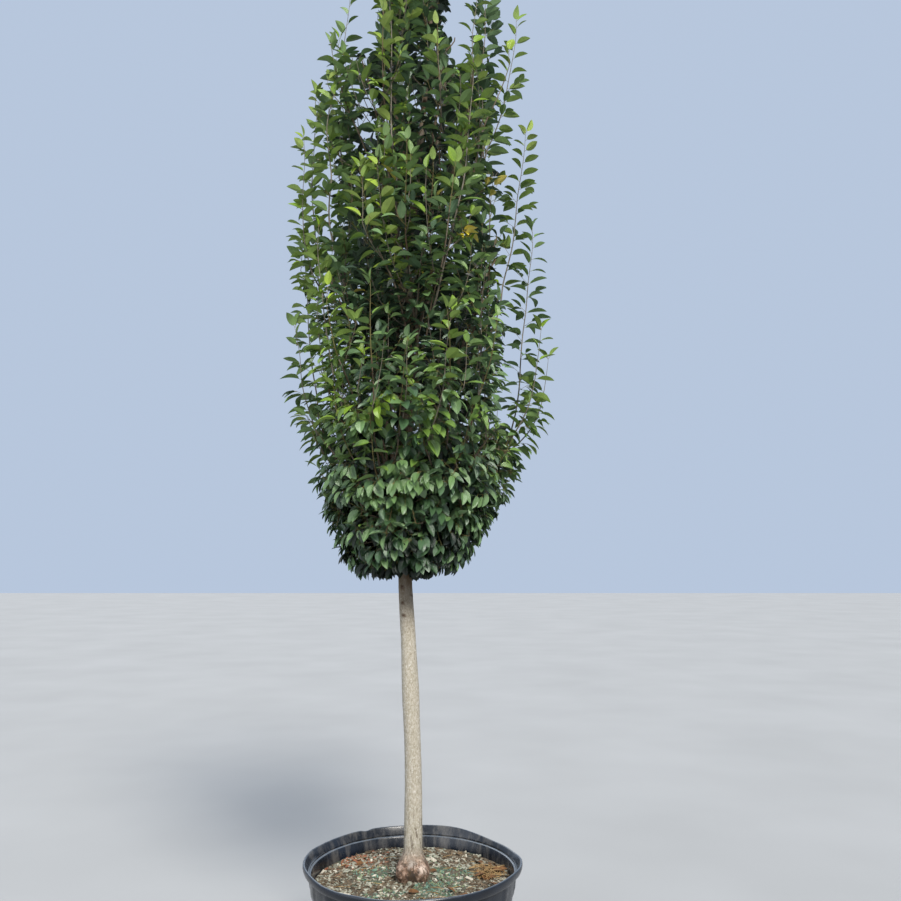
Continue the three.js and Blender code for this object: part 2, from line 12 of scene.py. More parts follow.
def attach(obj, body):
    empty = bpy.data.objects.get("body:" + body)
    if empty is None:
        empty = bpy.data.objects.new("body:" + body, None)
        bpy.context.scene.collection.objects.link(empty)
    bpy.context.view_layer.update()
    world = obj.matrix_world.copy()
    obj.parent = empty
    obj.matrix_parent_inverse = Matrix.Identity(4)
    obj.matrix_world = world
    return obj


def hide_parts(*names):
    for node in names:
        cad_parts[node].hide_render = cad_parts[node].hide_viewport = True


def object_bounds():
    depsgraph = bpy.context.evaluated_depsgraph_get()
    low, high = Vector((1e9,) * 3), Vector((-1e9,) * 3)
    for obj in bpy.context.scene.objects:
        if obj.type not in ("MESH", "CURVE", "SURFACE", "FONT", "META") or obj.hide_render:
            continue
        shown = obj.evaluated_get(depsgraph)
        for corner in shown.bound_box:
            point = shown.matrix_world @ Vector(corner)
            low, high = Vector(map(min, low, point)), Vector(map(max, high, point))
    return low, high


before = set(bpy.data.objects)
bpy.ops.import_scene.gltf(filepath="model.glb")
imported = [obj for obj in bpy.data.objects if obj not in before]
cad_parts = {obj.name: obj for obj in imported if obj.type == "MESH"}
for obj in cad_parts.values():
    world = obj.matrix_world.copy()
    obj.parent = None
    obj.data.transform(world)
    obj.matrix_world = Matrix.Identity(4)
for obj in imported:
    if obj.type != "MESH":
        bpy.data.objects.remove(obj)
cad_box = [list(corner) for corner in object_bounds()]

# Camera, as fitted to the pot's rim and the horizon
IMAGE_SIZE = 901
FOCAL_PIXELS = 850
SENSOR = 36
CAMERA_PLACE = (0.14, -3.356, 1.60)
CAMERA_PITCH = math.radians(7.41)

# Pot
RIM_RADIUS = 0.405
POT_HEIGHT = 0.5
FOOT_RADIUS = 0.336
BODY_TOP_RADIUS = 0.386
WALL = 0.006
INNER_SKIN = 0.010
BAND_HEIGHTS = (0.105, 0.255, 0.39)
BAND_STEP = 0.005
LIP_HEIGHT = 0.032
POT_SEGMENTS = 224
GRIP_REACH = 0.0036
GRIP_HALF_ANGLE = 0.4
DRAIN_HOLES = 8
DRAIN_RADIUS = 0.015
DRAIN_HEIGHT = 0.026
DRAIN_SIDES = 20
RIM_TABS = 20
SHARP_FROM = 38
LIP = POT_HEIGHT - LIP_HEIGHT
# The rim from the body up, over and down again: off its radius, height, share of its movement
RIM = (
    (RIM_RADIUS - BODY_TOP_RADIUS + 0.002, LIP - 0.001, 0),
    (RIM_RADIUS - BODY_TOP_RADIUS - 0.005, LIP - 0.003, 0.2),
    (0.0070, LIP - 0.001, 0.4),
    (0.0035, LIP + 0.004, 0.6),
    (0.0010, LIP + 0.014, 0.9),
    (0.0000, LIP + 0.022, 1),
    (0.0006, POT_HEIGHT - 0.004, 1),
    (0.0030, POT_HEIGHT - 0.0008, 1),
    (0.0055, POT_HEIGHT, 1),
    (0.0080, POT_HEIGHT - 0.0012, 1),
    (0.0098, POT_HEIGHT - 0.005, 0.9),
    (0.0150, POT_HEIGHT - 0.022, 0.5),
    (0.0190, POT_HEIGHT - 0.036, 0.2),
    (0.0225, POT_HEIGHT - 0.039, 0),
    (0.0275, POT_HEIGHT - 0.041, 0),
    (0.0300, POT_HEIGHT - 0.046, 0),
)

# Potting mix
MIX_TOP = 0.423
MIX_HEAP = 0.003
CHIPS = 4600
MIX_DEPTH = 0.06
MIX_RINGS = 64
MIX_SIDES = 144
# Room between the wall and the compost, its chips and its litter
MIX_ROOM = 0.0045
CHIP_ROOM = 0.016
LITTER_REACH = 0.366
# Patches of algae: place and reach
ALGAE = (
    (-0.15, 0.04, 0.10),
    (0.14, 0.05, 0.11),
    (0.10, -0.12, 0.10),
    (-0.10, -0.15, 0.06),
    (0.02, 0.20, 0.06),
)
# Drift of reddish chips: place and reach
RED_DRIFT = (-0.25, 0.19, 0.09)
# Clump of dry litter: its place, the straws and dead leaves in all, and how many of them lie in it
CLUMP = (0.285, 0.05)
STRAWS = 150
CLUMP_STRAWS = 105
DEAD_LEAVES = 26
CLUMP_LEAVES = 16
STRAW_RADIUS = 0.0011

# Trunk
TRUNK_FOOT = 0.4263
TRUNK_TIP = 4.08
TRUNK_FOOT_RADIUS = 0.035
TRUNK_FORK_RADIUS = 0.027
TRUNK_TIP_RADIUS = 0.007
TRUNK_SIDES = 56
LEAN = -0.04
LEAN_FROM = 0.7
LEAN_TO = 1.75
SWING_FROM = 2.5
SWING_BACK = 0.1
ROOT_KNOB_HEIGHT = 0.078
ROOT_KNOBS = (
    (-0.88, 0.034, 0.56),
    (-2.28, 0.036, 0.58),
    (0.05, 0.017, 0.5),
    (3.1, 0.015, 0.5),
    (1.5, 0.008, 0.6),
)

# Knots and scars of the clear stem: height, azimuth, radius, how far it stands out; the first
# DARK_KNOTS of them are dark
DARK_KNOTS = 4
KNOTS = (
    (1.500, -2.00, 0.0095, 0.0042),
    (1.440, -2.03, 0.0080, 0.0036),
    (1.393, -1.97, 0.0085, 0.0040),
    (1.468, -0.45, 0.0070, 0.0030),
    (1.196, -1.75, 0.0085, -0.0022),
    (0.930, -2.00, 0.0060, 0.0016),
    (1.060, 0.60, 0.0070, 0.0024),
    (1.310, 1.90, 0.0080, 0.0030),
    (0.780, 2.60, 0.0065, 0.0020),
)

# Spots of the root burl: place and reach of the painted shade in its recesses, its grey scar, and
# the painted highlight on its swelling
BURL_RECESS_SHADE = (
    (-0.003, -0.058, 0.446, 0.026),
    (-0.064, -0.028, 0.442, 0.022),
    (0.030, -0.070, 0.436, 0.016),
)
BURL_SCAR = ((-0.004, -0.055, 0.492, 0.022),)
BURL_SWELLING_HIGHLIGHT = ((0.040, -0.064, 0.478, 0.026), (-0.046, -0.062, 0.484, 0.016))

# Outline of the leafy crown: height, half width, and how far its middle lies to the right
CROWN_OUTLINE = (
    (1.495, 0.130, -0.040),
    (1.545, 0.225, -0.040),
    (1.640, 0.280, -0.034),
    (1.720, 0.322, -0.022),
    (1.840, 0.398, 0.002),
    (2.060, 0.504, 0.004),
    (2.340, 0.562, 0.038),
    (2.660, 0.545, 0.008),
    (3.080, 0.512, -0.012),
    (3.480, 0.468, 0.005),
    (3.860, 0.405, 0.052),
    (4.150, 0.318, 0.066),
    (4.430, 0.200, 0.060),
    (4.640, 0.115, 0.050),
    (4.780, 0.062, 0.046),
)
CROWN_HEIGHTS, CROWN_HALVES, CROWN_SHIFTS = (list(column) for column in zip(*CROWN_OUTLINE))
CROWN_BASE, CROWN_TOP = CROWN_HEIGHTS[0], CROWN_HEIGHTS[-1]

# Tiers of masses: name, masses, level, wave of the level, first azimuth, bough radius, hang
RISE = 1.35
BORDER_WAVES = 3
TIERS = (
    ("low", 5, 1.20, 0.0, 0.3, 0.012, 1),
    ("mid", 5, 1.94, 0.06, 0.9, 0.011, 0),
    ("high", 5, 2.54, 0.06, 0.3, 0.0095, 0),
    ("upper", 4, 3.16, 0.04, 0.75, 0.008, 0),
)
TOP_LEVEL = 3.8

# Boughs
BOUGH_DROP = 0.08
LOWEST_BOUGH = 0.03
BOUGH_STEP = 0.022
BOUGH_END_DISTANCE = 0.125
BOUGH_END_RISE = 0.12
SHORTEST_RISE = 0.15
STEM_CLIMB = 0.33
BOUGH_TAPER = 0.7
STEM_TIP_RADIUS = 0.0022
# Limbs beside each stem: the share of the stem where they part, their turn in the space, the share
# of the stem's height that they reach, and how near the outline they end
SIDE_STEMS = ((0.10, 0.56, 0.90, 0.84), (0.22, -0.56, 0.84, 0.82), (0.40, 0.30, 0.70, 0.60))
LOW_STEMS = (
    (0.04, -0.10, 0.34, 0.74),
    (0.07, 0.80, 0.46, 0.72),
    (0.10, -0.80, 0.40, 0.72),
    (0.02, 0.45, 0.16, 0.72),
)
# Skirt of the lowest boughs: where each limb parts, its turn, and the height of its tip
SKIRT_LIMBS = (
    (0.30, -0.75, 1.600),
    (0.40, 0.10, 1.575),
    (0.50, 0.85, 1.625),
    (0.60, -0.30, 1.665),
    (0.75, 0.50, 1.700),
    (0.85, -0.90, 1.735),
    (0.95, 0.05, 1.765),
)
SKIRT_REACH = 0.80
SKIRT_RADIUS = 0.0042
TOP_STEMS = (
    (0.02, 0.5, 0.62, 0.8),
    (0.05, -0.62, 0.55, 0.8),
    (0.08, 1.6, 0.5, 0.75),
    (0.04, -1.9, 0.6, 0.8),
    (0.03, 1.05, 0.30, 0.85),
    (0.06, -1.25, 0.32, 0.85),
    (0.02, 0.1, 0.24, 0.9),
    (0.03, -0.35, 0.20, 0.9),
    (0.02, 1.85, 0.22, 0.9),
    (0.04, -1.6, 0.22, 0.9),
    (0.02, 1.3, 0.12, 0.92),
    (0.03, -0.95, 0.12, 0.92),
    (0.30, 0.1, 0.8, 0.6),
    (0.40, -2.3, 0.85, 0.6),
)

# Limbs from the upper trunk: the height where they part, azimuth, and the height of the tip
CAP_REACH = 0.78
THIN_LIMB_RADIUS = 0.004
THICK_STEM_RADIUS = 0.006
CAP_LIMBS = (
    (3.62, 0.5, 4.20),
    (3.66, 2.6, 4.22),
    (3.70, 4.4, 4.16),
    (3.74, 3.4, 4.24),
    (3.78, 1.5, 4.30),
    (3.82, 5.6, 4.26),
    (3.86, 3.0, 4.34),
    (3.90, 0.0, 4.34),
    (3.94, 2.0, 4.42),
    (3.98, 5.0, 4.44),
)

# How far limbs of each kind stray from their line, and how far apart the noise of the two
# directions is taken
STEM_DRIFT = 0.03
SKIRT_DRIFT = 0.02
TOP_DRIFT = 0.02
LEADER_DRIFT = 0.016
DRIFT_OFFSET = 17.3

# Twigs and shoots. One twig in VIGOROUS is; wildness is how much each step turns by chance
TWIG_SPACING = 0.075
SHORTEST_TWIG = 0.14
LONGEST_TWIG = 0.5
LONGEST_VIGOROUS = 0.62
VIGOROUS_FROM = 1.8
TWIG_WILDNESS = 0.07
VIGOROUS_WILDNESS = 0.045
TIP_WILDNESS = 0.04
UP_THE_OUTLINE = 0.7
OFF_THE_OUTLINE = 1.25
TWIG_RADIUS = 0.0022
SHOOT_SPACING = 0.070
LEADER_SHOOTS = 0.06
OUTLINE_INSET = 0.045
BODY_INSET = 0.105
VIGOROUS = 4
LOW_TWIGS = 6
TRUNK_TWIGS = 68
TRUNK_TWIGS_FROM = 1.85
INNER_BARE = 0.64
BORDER_SLACK = 0.05
UPPER_SLACK = 0.28
SIDE_SLACK = 0.07
BOX_SLACK = 0.018
FRINGE = 1.538
SHOOT_RADIUS = 0.0013
SHOOT_TIP_RADIUS = 0.0008
GROWTH_STEP = 0.02
GOLDEN_ANGLE = math.pi * (3 - math.sqrt(5))

# Leaves
LEAF_LENGTH = 0.081
LEAF_ASPECT = 0.56
LONG_INTERNODE = 0.034
SHORT_INTERNODE = 0.027
PETIOLE = 0.010
STALK_RADIUS = 0.0008
TIP_REACH = 0.014
SPIRE_REACH = 0.04
LEAF_VARIANTS = 8
LEAVES_PER_PIECE = 4600
VEIN_PAIRS = 11
VEIN_SLOPE = 0.62
MIDRIB_HALF = 0.028
BLADE_THICKNESS = 0.006
# Leaves keep this far off the trunk
TRUNK_ROOM = 0.015
# Share of the leaves that have turned by themselves, and the height from which
STRAY_TURNED = 0.001
STRAY_FROM = 2.4
# Share of the leaves that have turned where sprays have, and how near the front these are
SPRAY_TURNED = 0.6
SPRAY_FRONT = -0.2
LEAF_STATIONS = ((0.08, 0.50), (0.26, 0.90), (0.47, 1.0), (0.69, 0.82), (0.88, 0.40))

# Slots of sky between the upright limbs: place to the right, height from and to, half width; they
# rise towards the back, the more the higher they are above the base. Limbs, and the twigs in front
# of SLOT_FRONT, end some way before a slot, and their leaves reach its edge
SLOT_BASE = 1.6
SLOT_RISE = 0.3
SLOT_RAGGED = 0.9
SLOT_FRONT = 0.05
WOOD_FROM_SKY = 0.025
SKY_SLOTS = (
    (-0.221, 3.72, 4.00, 0.036),
    (0.172, 3.68, 4.02, 0.040),
    (0.385, 2.66, 3.04, 0.038),
    (0.420, 2.36, 2.60, 0.034),
    (0.360, 2.10, 2.26, 0.022),
    (-0.405, 2.18, 2.52, 0.024),
    (0.330, 3.20, 3.44, 0.024),
    (-0.385, 2.72, 3.30, 0.020),
)

# Sprays that have turned: place to the right, height and reach
TURNED_PLACES = (
    (0.292, 3.05, 0.034),
    (0.318, 2.99, 0.030),
    (0.250, 2.93, 0.026),
    (0.075, 2.93, 0.026),
    (0.186, 2.79, 0.026),
    (0.048, 2.53, 0.024),
)

# Sprays with light or shade painted in by their place: to the right, height, reach either way, and
# how much lighter
LIT_AND_SHADED_PLACES = (
    (-0.38, 2.30, 0.16, 0.42, 0.17),
    (-0.20, 3.10, 0.09, 0.12, 0.14),
    (0.03, 2.26, 0.11, 0.12, 0.10),
    (0.21, 3.40, 0.07, 0.30, 0.09),
    (-0.08, 3.80, 0.09, 0.26, 0.08),
    (0.06, 3.38, 0.11, 0.24, -0.17),
    (0.12, 2.86, 0.13, 0.17, -0.10),
    (-0.20, 2.05, 0.07, 0.20, -0.16),
    (0.00, 2.14, 0.50, 0.26, 0.13),
    (0.05, 1.62, 0.40, 0.12, -0.05),
)

# Leading shoots that stand free at the crown's two sides, and limbs that show at its front: the
# place of the tip, where the shoot passes on its way up, and its radius at the foot
LEADERS = (
    ((-0.285, -0.03, 4.00), (-0.335, -0.03, 3.50), 0.0034),
    ((-0.417, 0.02, 3.54), (-0.455, 0.02, 3.15), 0.0034),
    ((-0.470, -0.03, 3.33), (-0.462, -0.03, 2.85), 0.0034),
    ((-0.472, 0.05, 2.92), (-0.448, 0.04, 2.55), 0.0034),
    ((-0.478, -0.06, 2.52), (-0.440, -0.05, 2.20), 0.0034),
    ((0.423, 0.00, 3.88), (0.372, 0.00, 3.50), 0.0034),
    ((0.300, -0.08, 4.12), (0.272, -0.06, 3.70), 0.0034),
    ((0.455, 0.05, 3.40), (0.425, 0.05, 3.08), 0.0034),
    ((0.475, -0.02, 2.95), (0.450, -0.02, 2.62), 0.0034),
    ((0.511, -0.05, 2.52), (0.462, -0.04, 2.20), 0.0034),
    ((0.545, 0.04, 2.42), (0.505, 0.03, 2.15), 0.0034),
    ((-0.112, -0.24, 4.14), (-0.078, -0.395, 2.96), 0.0060),
    ((0.240, -0.31, 3.84), (0.198, -0.40, 2.88), 0.0052),
    ((-0.300, -0.20, 3.66), (-0.366, -0.22, 3.00), 0.0048),
    ((-0.366, -0.25, 2.86), (-0.300, -0.33, 2.22), 0.0056),
    ((0.146, -0.485, 2.46), (0.112, -0.485, 2.16), 0.0030),
    ((-0.004, -0.485, 2.36), (-0.018, -0.47, 2.16), 0.0026),
)

# Colours, 0 to 255: name, dark and light of the materials of chips and litter
CHIP_COLOURS = (
    ("chip_brown", (52, 44, 34), (128, 112, 92)),
    ("chip_grey", (98, 98, 84), (180, 178, 160)),
    ("chip_pale", (150, 140, 120), (218, 210, 192)),
    ("chip_red", (98, 58, 42), (164, 112, 86)),
    ("chip_green", (64, 88, 76), (118, 146, 128)),
    ("chip_mossy", (84, 96, 70), (146, 156, 122)),
)
LITTER_COLOURS = (
    ("straw", (104, 78, 50), (184, 154, 108), 60, 0.7),
    ("dead_leaf", (74, 50, 32), (128, 94, 62), 60, 0.75),
)
FLOOR_DARK = (154.06, 154.06, 152.99)
FLOOR_LIGHT = (160.27, 160.27, 159.26)
# Tones of leaf, with shade and sunlight painted into them, from the shade at the foot to the sunny
# tips, and the few that have turned: name, up to which tone, gloss, and the colours of the upper
# side, the veins and the underside
LEAF_TONES = (
    ("inner", 0.09, 0.6, (18, 33, 17), (34, 52, 31), (38, 56, 35)),
    ("deep", 0.24, 0.95, (64, 90, 58), (74, 98, 68), (72, 96, 66)),
    ("dark", 0.40, 0.95, (95, 124, 74), (106, 132, 86), (96, 122, 80)),
    ("middle", 0.58, 0.8, (96, 125, 52), (122, 148, 76), (106, 132, 76)),
    ("fresh", 0.80, 0.6, (107, 135, 38), (142, 166, 68), (120, 144, 68)),
    ("bright", 9.0, 0.5, (130, 152, 44), (164, 184, 82), (140, 160, 78)),
    ("turned", 10.0, 0.5, (190, 173, 48), (222, 206, 96), (196, 180, 88)),
)

# Light: name, place it comes from, angle in degrees, power, colour; and the sky behind
LIGHTS = (
    ("key", (1.9, -5.0, 4.6), 22, 4.3, (1.0, 0.968, 0.91)),
    ("fill", (-5.0, -4.5, 1.6), 60, 0.9, (0.95, 0.975, 1.0)),
    ("back", (-2.0, 5.0, 5.0), 40, 0.7, (1.0, 1.0, 1.0)),
)
SKY_COLOUR = (0.66, 0.79, 1.0, 1)
SKY_STRENGTH = 0.72
FLOOR_HALF = 40

# Heights where something sets in or ends, and over how much height it does
HANGING_ENDS = (1.65, 1.25)
DOME_ENDS = (1.7, 0.5)
THIN_SETS_IN = (1.85, 0.45)
THINNER_SETS_IN = (3.0, 1.0)
THIN_ENDS = (3.7, 0.3)
BARE_SETS_IN = (2.3, 1.2)
BARE_ENDS = (3.3, 0.4)
SPIRE_SETS_IN = (3.9, 0.5)
SUN_SETS_IN = (1.85, 0.6)
# Values by height: the size of leaves, how far twigs reach on past the foliage's body, the spacing
# of their shoots, and the spacing of leaves on these
LEAF_SIZES = ((1.5, 2.0, 2.8, 4.8), (0.74, 0.80, 0.90, 0.86))
TWIG_SPARE = ((1.6, 2.4, 3.2, 4.0, 4.7), (0.05, 0.14, 0.18, 0.14, 0.08))
SHOOT_SPREAD = ((1.8, 2.4, 3.4, 4.4), (0.62, 0.85, 1.05, 1.25))
LEAF_SPREAD = ((1.7, 2.4), (0.78, 1.0))

# Steps along each kind of line, and sides of each kind of limb
BOUGH_STEPS, STEM_STEPS, SIDE_STEPS, SKIRT_STEPS, LEADER_STEPS = 10, 22, 18, 12, 40
BOUGH_SIDES, STEM_SIDES, THIN_STEM_SIDES, TWIG_SIDES, SHOOT_SIDES = 10, 9, 7, 4, 3

# Seeds of what is dealt out by chance
TRUNK_TWIG_SEED = 888
TOP_SEED = 900
CAP_SEED = 950
LEADER_SEED = 5000
LEAF_SEED = 7000
DEAD_LEAF_VARIANTS = (20, 26)
CHIP_SEED = 4100
LITTER_SEED = 5200

UP = Vector((0, 0, 1))


def linear(red, green, blue):
    """A colour given as 0 to 255 as seen on a screen, in the linear values that a shader takes"""
    return tuple((value / 255) ** 2.2 for value in (red, green, blue)) + (1,)


def smooth(t):
    """An S-shaped step from 0 to 1"""
    t = min(1.0, max(0.0, t))
    return t * t * (3 - 2 * t)


def risen(z, change):
    """0 up to the height where a change sets in, 1 where it is done"""
    start, over = change
    return smooth((z - start) / over)


def polar(azimuth, distance, z):
    """The point at an azimuth and a distance from the axis"""
    return Vector((distance * math.cos(azimuth), distance * math.sin(azimuth), z))


def azimuth_of(point):
    """The angle round the axis, from -pi to pi"""
    return math.atan2(point.y, point.x)


def outward_at(point):
    """The level heading from the axis to a point"""
    return Vector((point.x, point.y, 0)).normalized()


def turn_between(azimuth, other):
    """The angle from one azimuth to another, between minus and plus half a turn"""
    return math.atan2(math.sin(azimuth - other), math.cos(azimuth - other))


def bell(offset, reach):
    """1 in the middle, falling off smoothly over the reach"""
    return math.exp(-((offset / reach) ** 2))


def by_height(z, heights, values):
    """The value at a height, in between those of a table"""
    return float(np.interp(z, heights, values))


def tapered(start, end):
    """Radius of a limb that thins evenly"""
    return lambda ring, share, angle: start + (end - start) * share


def point_along(line, place):
    """The point and the heading at a place on a line, counted in its steps"""
    index = min(len(line) - 2, int(place))
    start, end = line[index], line[index + 1]
    return start.lerp(end, min(1.0, place - index)), (end - start).normalized()


def seeded(seed):
    """The same numbers on every run, for a given seed"""
    state = seed & 0xFFFFFFFF

    def draw(low, high):
        nonlocal state
        state = (state + 0x6D2B79F5) & 0xFFFFFFFF
        t = state
        t = ((t ^ (t >> 15)) * (t | 1)) & 0xFFFFFFFF
        t ^= (t + (((t ^ (t >> 7)) * (t | 61)) & 0xFFFFFFFF)) & 0xFFFFFFFF
        return low + (high - low) * ((t ^ (t >> 14)) & 0xFFFFFFFF) / 4294967296

    return draw


def jolt(draw):
    """A small push in any direction"""
    return Vector((draw(-1, 1), draw(-1, 1), draw(-1, 1)))


# Meshes


class Shape:
    """Corners and triangles of a piece while it is put together"""

    def __init__(self):
        self.corners = []
        self.triangles = []
        self.uvs = []
        self.slots = []
        self.count = 0

    def add(self, corners, triangles, uvs=None, slot=0):
        corners = np.asarray(corners, float).reshape(-1, 3)
        triangles = np.asarray(triangles, int).reshape(-1, 3)
        self.corners.append(corners)
        self.triangles.append(triangles + self.count)
        self.uvs.append(np.zeros((len(corners), 2)) if uvs is None else np.asarray(uvs, float))
        self.slots.append(np.full(len(triangles), slot) if np.isscalar(slot) else np.asarray(slot))
        self.count += len(corners)

    def build(self, name, materials, smooth_faces=True):
        corners = np.concatenate(self.corners)
        triangles = np.concatenate(self.triangles)
        uvs = np.concatenate(self.uvs)
        slots = np.concatenate(self.slots)
        mesh = bpy.data.meshes.new(name)
        mesh.vertices.add(len(corners))
        mesh.vertices.foreach_set("co", corners.astype(np.float32).ravel())
        mesh.loops.add(triangles.size)
        mesh.loops.foreach_set("vertex_index", triangles.astype(np.int32).ravel())
        mesh.polygons.add(len(triangles))
        mesh.polygons.foreach_set("loop_start", np.arange(0, triangles.size, 3, dtype=np.int32))
        mesh.polygons.foreach_set("material_index", slots.astype(np.int32))
        mesh.polygons.foreach_set("use_smooth", np.full(len(triangles), smooth_faces))
        layer = mesh.uv_layers.new(name="UVMap")
        layer.data.foreach_set("uv", uvs[triangles.ravel()].astype(np.float32).ravel())
        mesh.update(calc_edges=True)
        mesh.validate()
        for material in materials:
            mesh.materials.append(material)
        piece = bpy.data.objects.new(name, mesh)
        bpy.context.scene.collection.objects.link(piece)
        return piece


def ring_triangles(rings, sides):
    """Triangles between rings of corners; each ring's last corner joins its first"""
    ring, side = np.divmod(np.arange((rings - 1) * sides), sides)
    after = (side + 1) % sides
    a, b = ring * sides + side, ring * sides + after
    c, d = a + sides, b + sides
    return np.concatenate([np.stack([a, b, d], 1), np.stack([a, d, c], 1)])


def tube(shape, points, radius_at, sides, slot=0, capped=True):
    """A limb round a line of points, with a pointed end; radius_at takes the ring, its share of the
    way and the angle"""
    count = len(points)
    sideways = abs((points[1] - points[0]).normalized().x) > 0.9
    across = Vector((0, 1, 0)) if sideways else Vector((1, 0, 0))
    corners, uvs, length = [], [], 0.0
    for ring, point in enumerate(points):
        before, after = points[max(0, ring - 1)], points[min(count - 1, ring + 1)]
        along = (after - before).normalized()
        across = (across - along * across.dot(along)).normalized()
        beside = along.cross(across)
        if ring:
            length += (point - points[ring - 1]).length
        for side in range(sides):
            angle = 2 * math.pi * side / sides
            radius = radius_at(ring, ring / (count - 1), angle)
            offset = across * (radius * math.cos(angle))
            corners.append(point + offset + beside * (radius * math.sin(angle)))
            uvs.append((side / sides, length))
    triangles = ring_triangles(count, sides)
    if capped:
        tip = points[-1] + (points[-1] - points[-2]).normalized() * radius_at(count - 1, 1.0, 0.0)
        corners.append(tip)
        uvs.append((0.5, length))
        last = (count - 1) * sides
        fan = [(last + side, last + (side + 1) % sides, len(corners) - 1) for side in range(sides)]
        triangles = np.concatenate([triangles, fan])
    shape.add([tuple(corner) for corner in corners], triangles, uvs, slot)


# Trunk


def trunk_axis(z):
    """The middle of the trunk: it leans to the left and swings back to the right above"""
    leaned = LEAN * smooth((z - LEAN_FROM) / (LEAN_TO - LEAN_FROM))
    swung = SWING_BACK * smooth((z - SWING_FROM) / (TRUNK_TIP - SWING_FROM))
    return Vector((leaned + swung, 0, z))


def trunk_radius(z):
    """The trunk's even taper, without burl, bark and knots"""
    heights = (TRUNK_FOOT, CROWN_BASE, TRUNK_TIP)
    return by_height(z, heights, (TRUNK_FOOT_RADIUS, TRUNK_FORK_RADIUS, TRUNK_TIP_RADIUS))


def root_knob(height, azimuth):
    """How far the root crown swells out of the round trunk"""
    swell = 1 - smooth((height - ROOT_KNOB_HEIGHT * 0.35) / ROOT_KNOB_HEIGHT)
    undercut = 0.72 + 0.28 * smooth(height / (ROOT_KNOB_HEIGHT * 0.4))
    total = 0.009
    for at, reach, width in ROOT_KNOBS:
        total += reach * bell(turn_between(azimuth, at), width)
    return swell * undercut * total


def bark_relief(point, radius, height):
    """Low swellings, a fine grain, and a rough root crown"""
    relief = 0.0005 * noise.noise(Vector((point.x * 130, point.y * 130, point.z * 60)))
    relief += 0.0006 * noise.noise(point * 55)
    relief += 0.0024 * noise.noise(Vector((point.x * 16, point.y * 16, point.z * 5 + 7)))
    relief += 0.0016 * bell(point.z - 1.12, 0.28)
    rough = 1 - smooth(height / 0.12)
    relief += rough * (0.0050 * noise.noise(point * 30) + 0.0022 * noise.noise(point * 85))
    return relief * min(1.0, radius / 0.02 + 0.25)


def knot_relief(z, azimuth, radius):
    """How far the knots and scars raise the bark at a spot"""
    total = 0.0
    for height, at, size, reach in KNOTS:
        if abs(z - height) > 4 * size:
            continue
        off = turn_between(azimuth, at) * radius
        distance = math.hypot(off, (z - height) * 0.8) / size
        total += reach * (bell(distance, 1) - 0.55 * bell(distance * 2.6, 1))
    return total


def trunk_heights():
    """Close together at the root crown, wider apart above"""
    heights, height = [], 0.0
    while height < TRUNK_TIP - TRUNK_FOOT:
        heights.append(height)
        height += 0.004 if height < 0.13 else 0.0075 if height < 1.25 else 0.02
    return heights + [TRUNK_TIP - TRUNK_FOOT]


def add_trunk(shape):
    """The trunk from its flat cut at soil level to its tip, with bark and burl as relief"""
    heights = trunk_heights()
    points = [trunk_axis(TRUNK_FOOT + height) for height in heights]

    def radius_at(ring, share, angle):
        z = points[ring].z
        base = trunk_radius(z) + root_knob(heights[ring], angle)
        place = points[ring] + polar(angle, base, 0)
        return base + (bark_relief(place, base, heights[ring]) + knot_relief(z, angle, base))

    tube(shape, points, radius_at, TRUNK_SIDES)


# Outline of the leafy crown and the space of each mass


def crown_radius(z, azimuth):
    """How far the leaves' outline lies from the axis"""
    if not CROWN_BASE <= z <= CROWN_TOP:
        return 0.0
    half = by_height(z, CROWN_HEIGHTS, CROWN_HALVES)
    return half + by_height(z, CROWN_HEIGHTS, CROWN_SHIFTS) * math.cos(azimuth)


def border_at(level, wave, azimuth):
    """The height of a wavy border on the axis, from which it rises outwards"""
    return level + wave * math.cos(BORDER_WAVES * azimuth)


def spaces_of_crown():
    """One space for each mass: its borders, its tier, the radius of its bough, whether its foot
    hangs, and the seed of what grows in it"""
    spaces = []
    for t, (_, masses, level, wave, turn, bough, hang) in enumerate(TIERS):
        above = TIERS[t + 1][2:4] if t + 1 < len(TIERS) else (TOP_LEVEL, 0)
        for i in range(masses):
            space = {"tier": t, "azimuth": turn + 2 * math.pi * i / masses}
            space.update(half_angle=math.pi / masses, bough=bough, hang=hang)
            spaces.append({**space, "from": (level, wave), "to": above, "seed": 100 * (t + 1) + i})
    return spaces


# All round the trunk: its short twigs, the limbs near its tip, and the top of the crown
TRUNK_SPACE = {
    "tier": len(TIERS),
    "azimuth": 0,
    "half_angle": math.pi,
    "from": (-9.0, 0),
    "to": (99.0, 0),
    "hang": 0,
    "seed": 3,
}
CAP_SPACE = {**TRUNK_SPACE, "seed": 5}
TOP_SPACE = {**TRUNK_SPACE, "from": (TOP_LEVEL, 0), "to": (9.0, 0), "seed": TOP_SEED}


def outside(point, inset):
    """Whether a point lies beyond the outline of the leaves, drawn in by the inset, or less where
    it is narrow"""
    reach = crown_radius(point.z, azimuth_of(point))
    return math.hypot(point.x, point.y) > reach - min(inset, 0.4 * reach)


def within_borders(space, point):
    """Whether a point lies between the borders of a mass's space, or a little past them"""
    distance = math.hypot(point.x, point.y)
    azimuth = azimuth_of(point)
    level = point.z - RISE * distance
    if level < border_at(*space["from"], azimuth) - BORDER_SLACK:
        return False
    if level > border_at(*space["to"], azimuth) + UPPER_SLACK:
        return False
    if space["half_angle"] >= math.pi:
        return True
    off = abs(turn_between(azimuth, space["azimuth"]))
    return off < math.pi / 2 + 0.4 and distance * math.sin(space["half_angle"] - off) > -SIDE_SLACK


# Limbs


def quadratic(start, bend, end, steps):
    """An even curve from start to end that leans towards the bend"""
    points = []
    for i in range(steps + 1):
        t = i / steps
        points.append(start * (1 - t) ** 2 + bend * (2 * t * (1 - t)) + end * t**2)
    return points


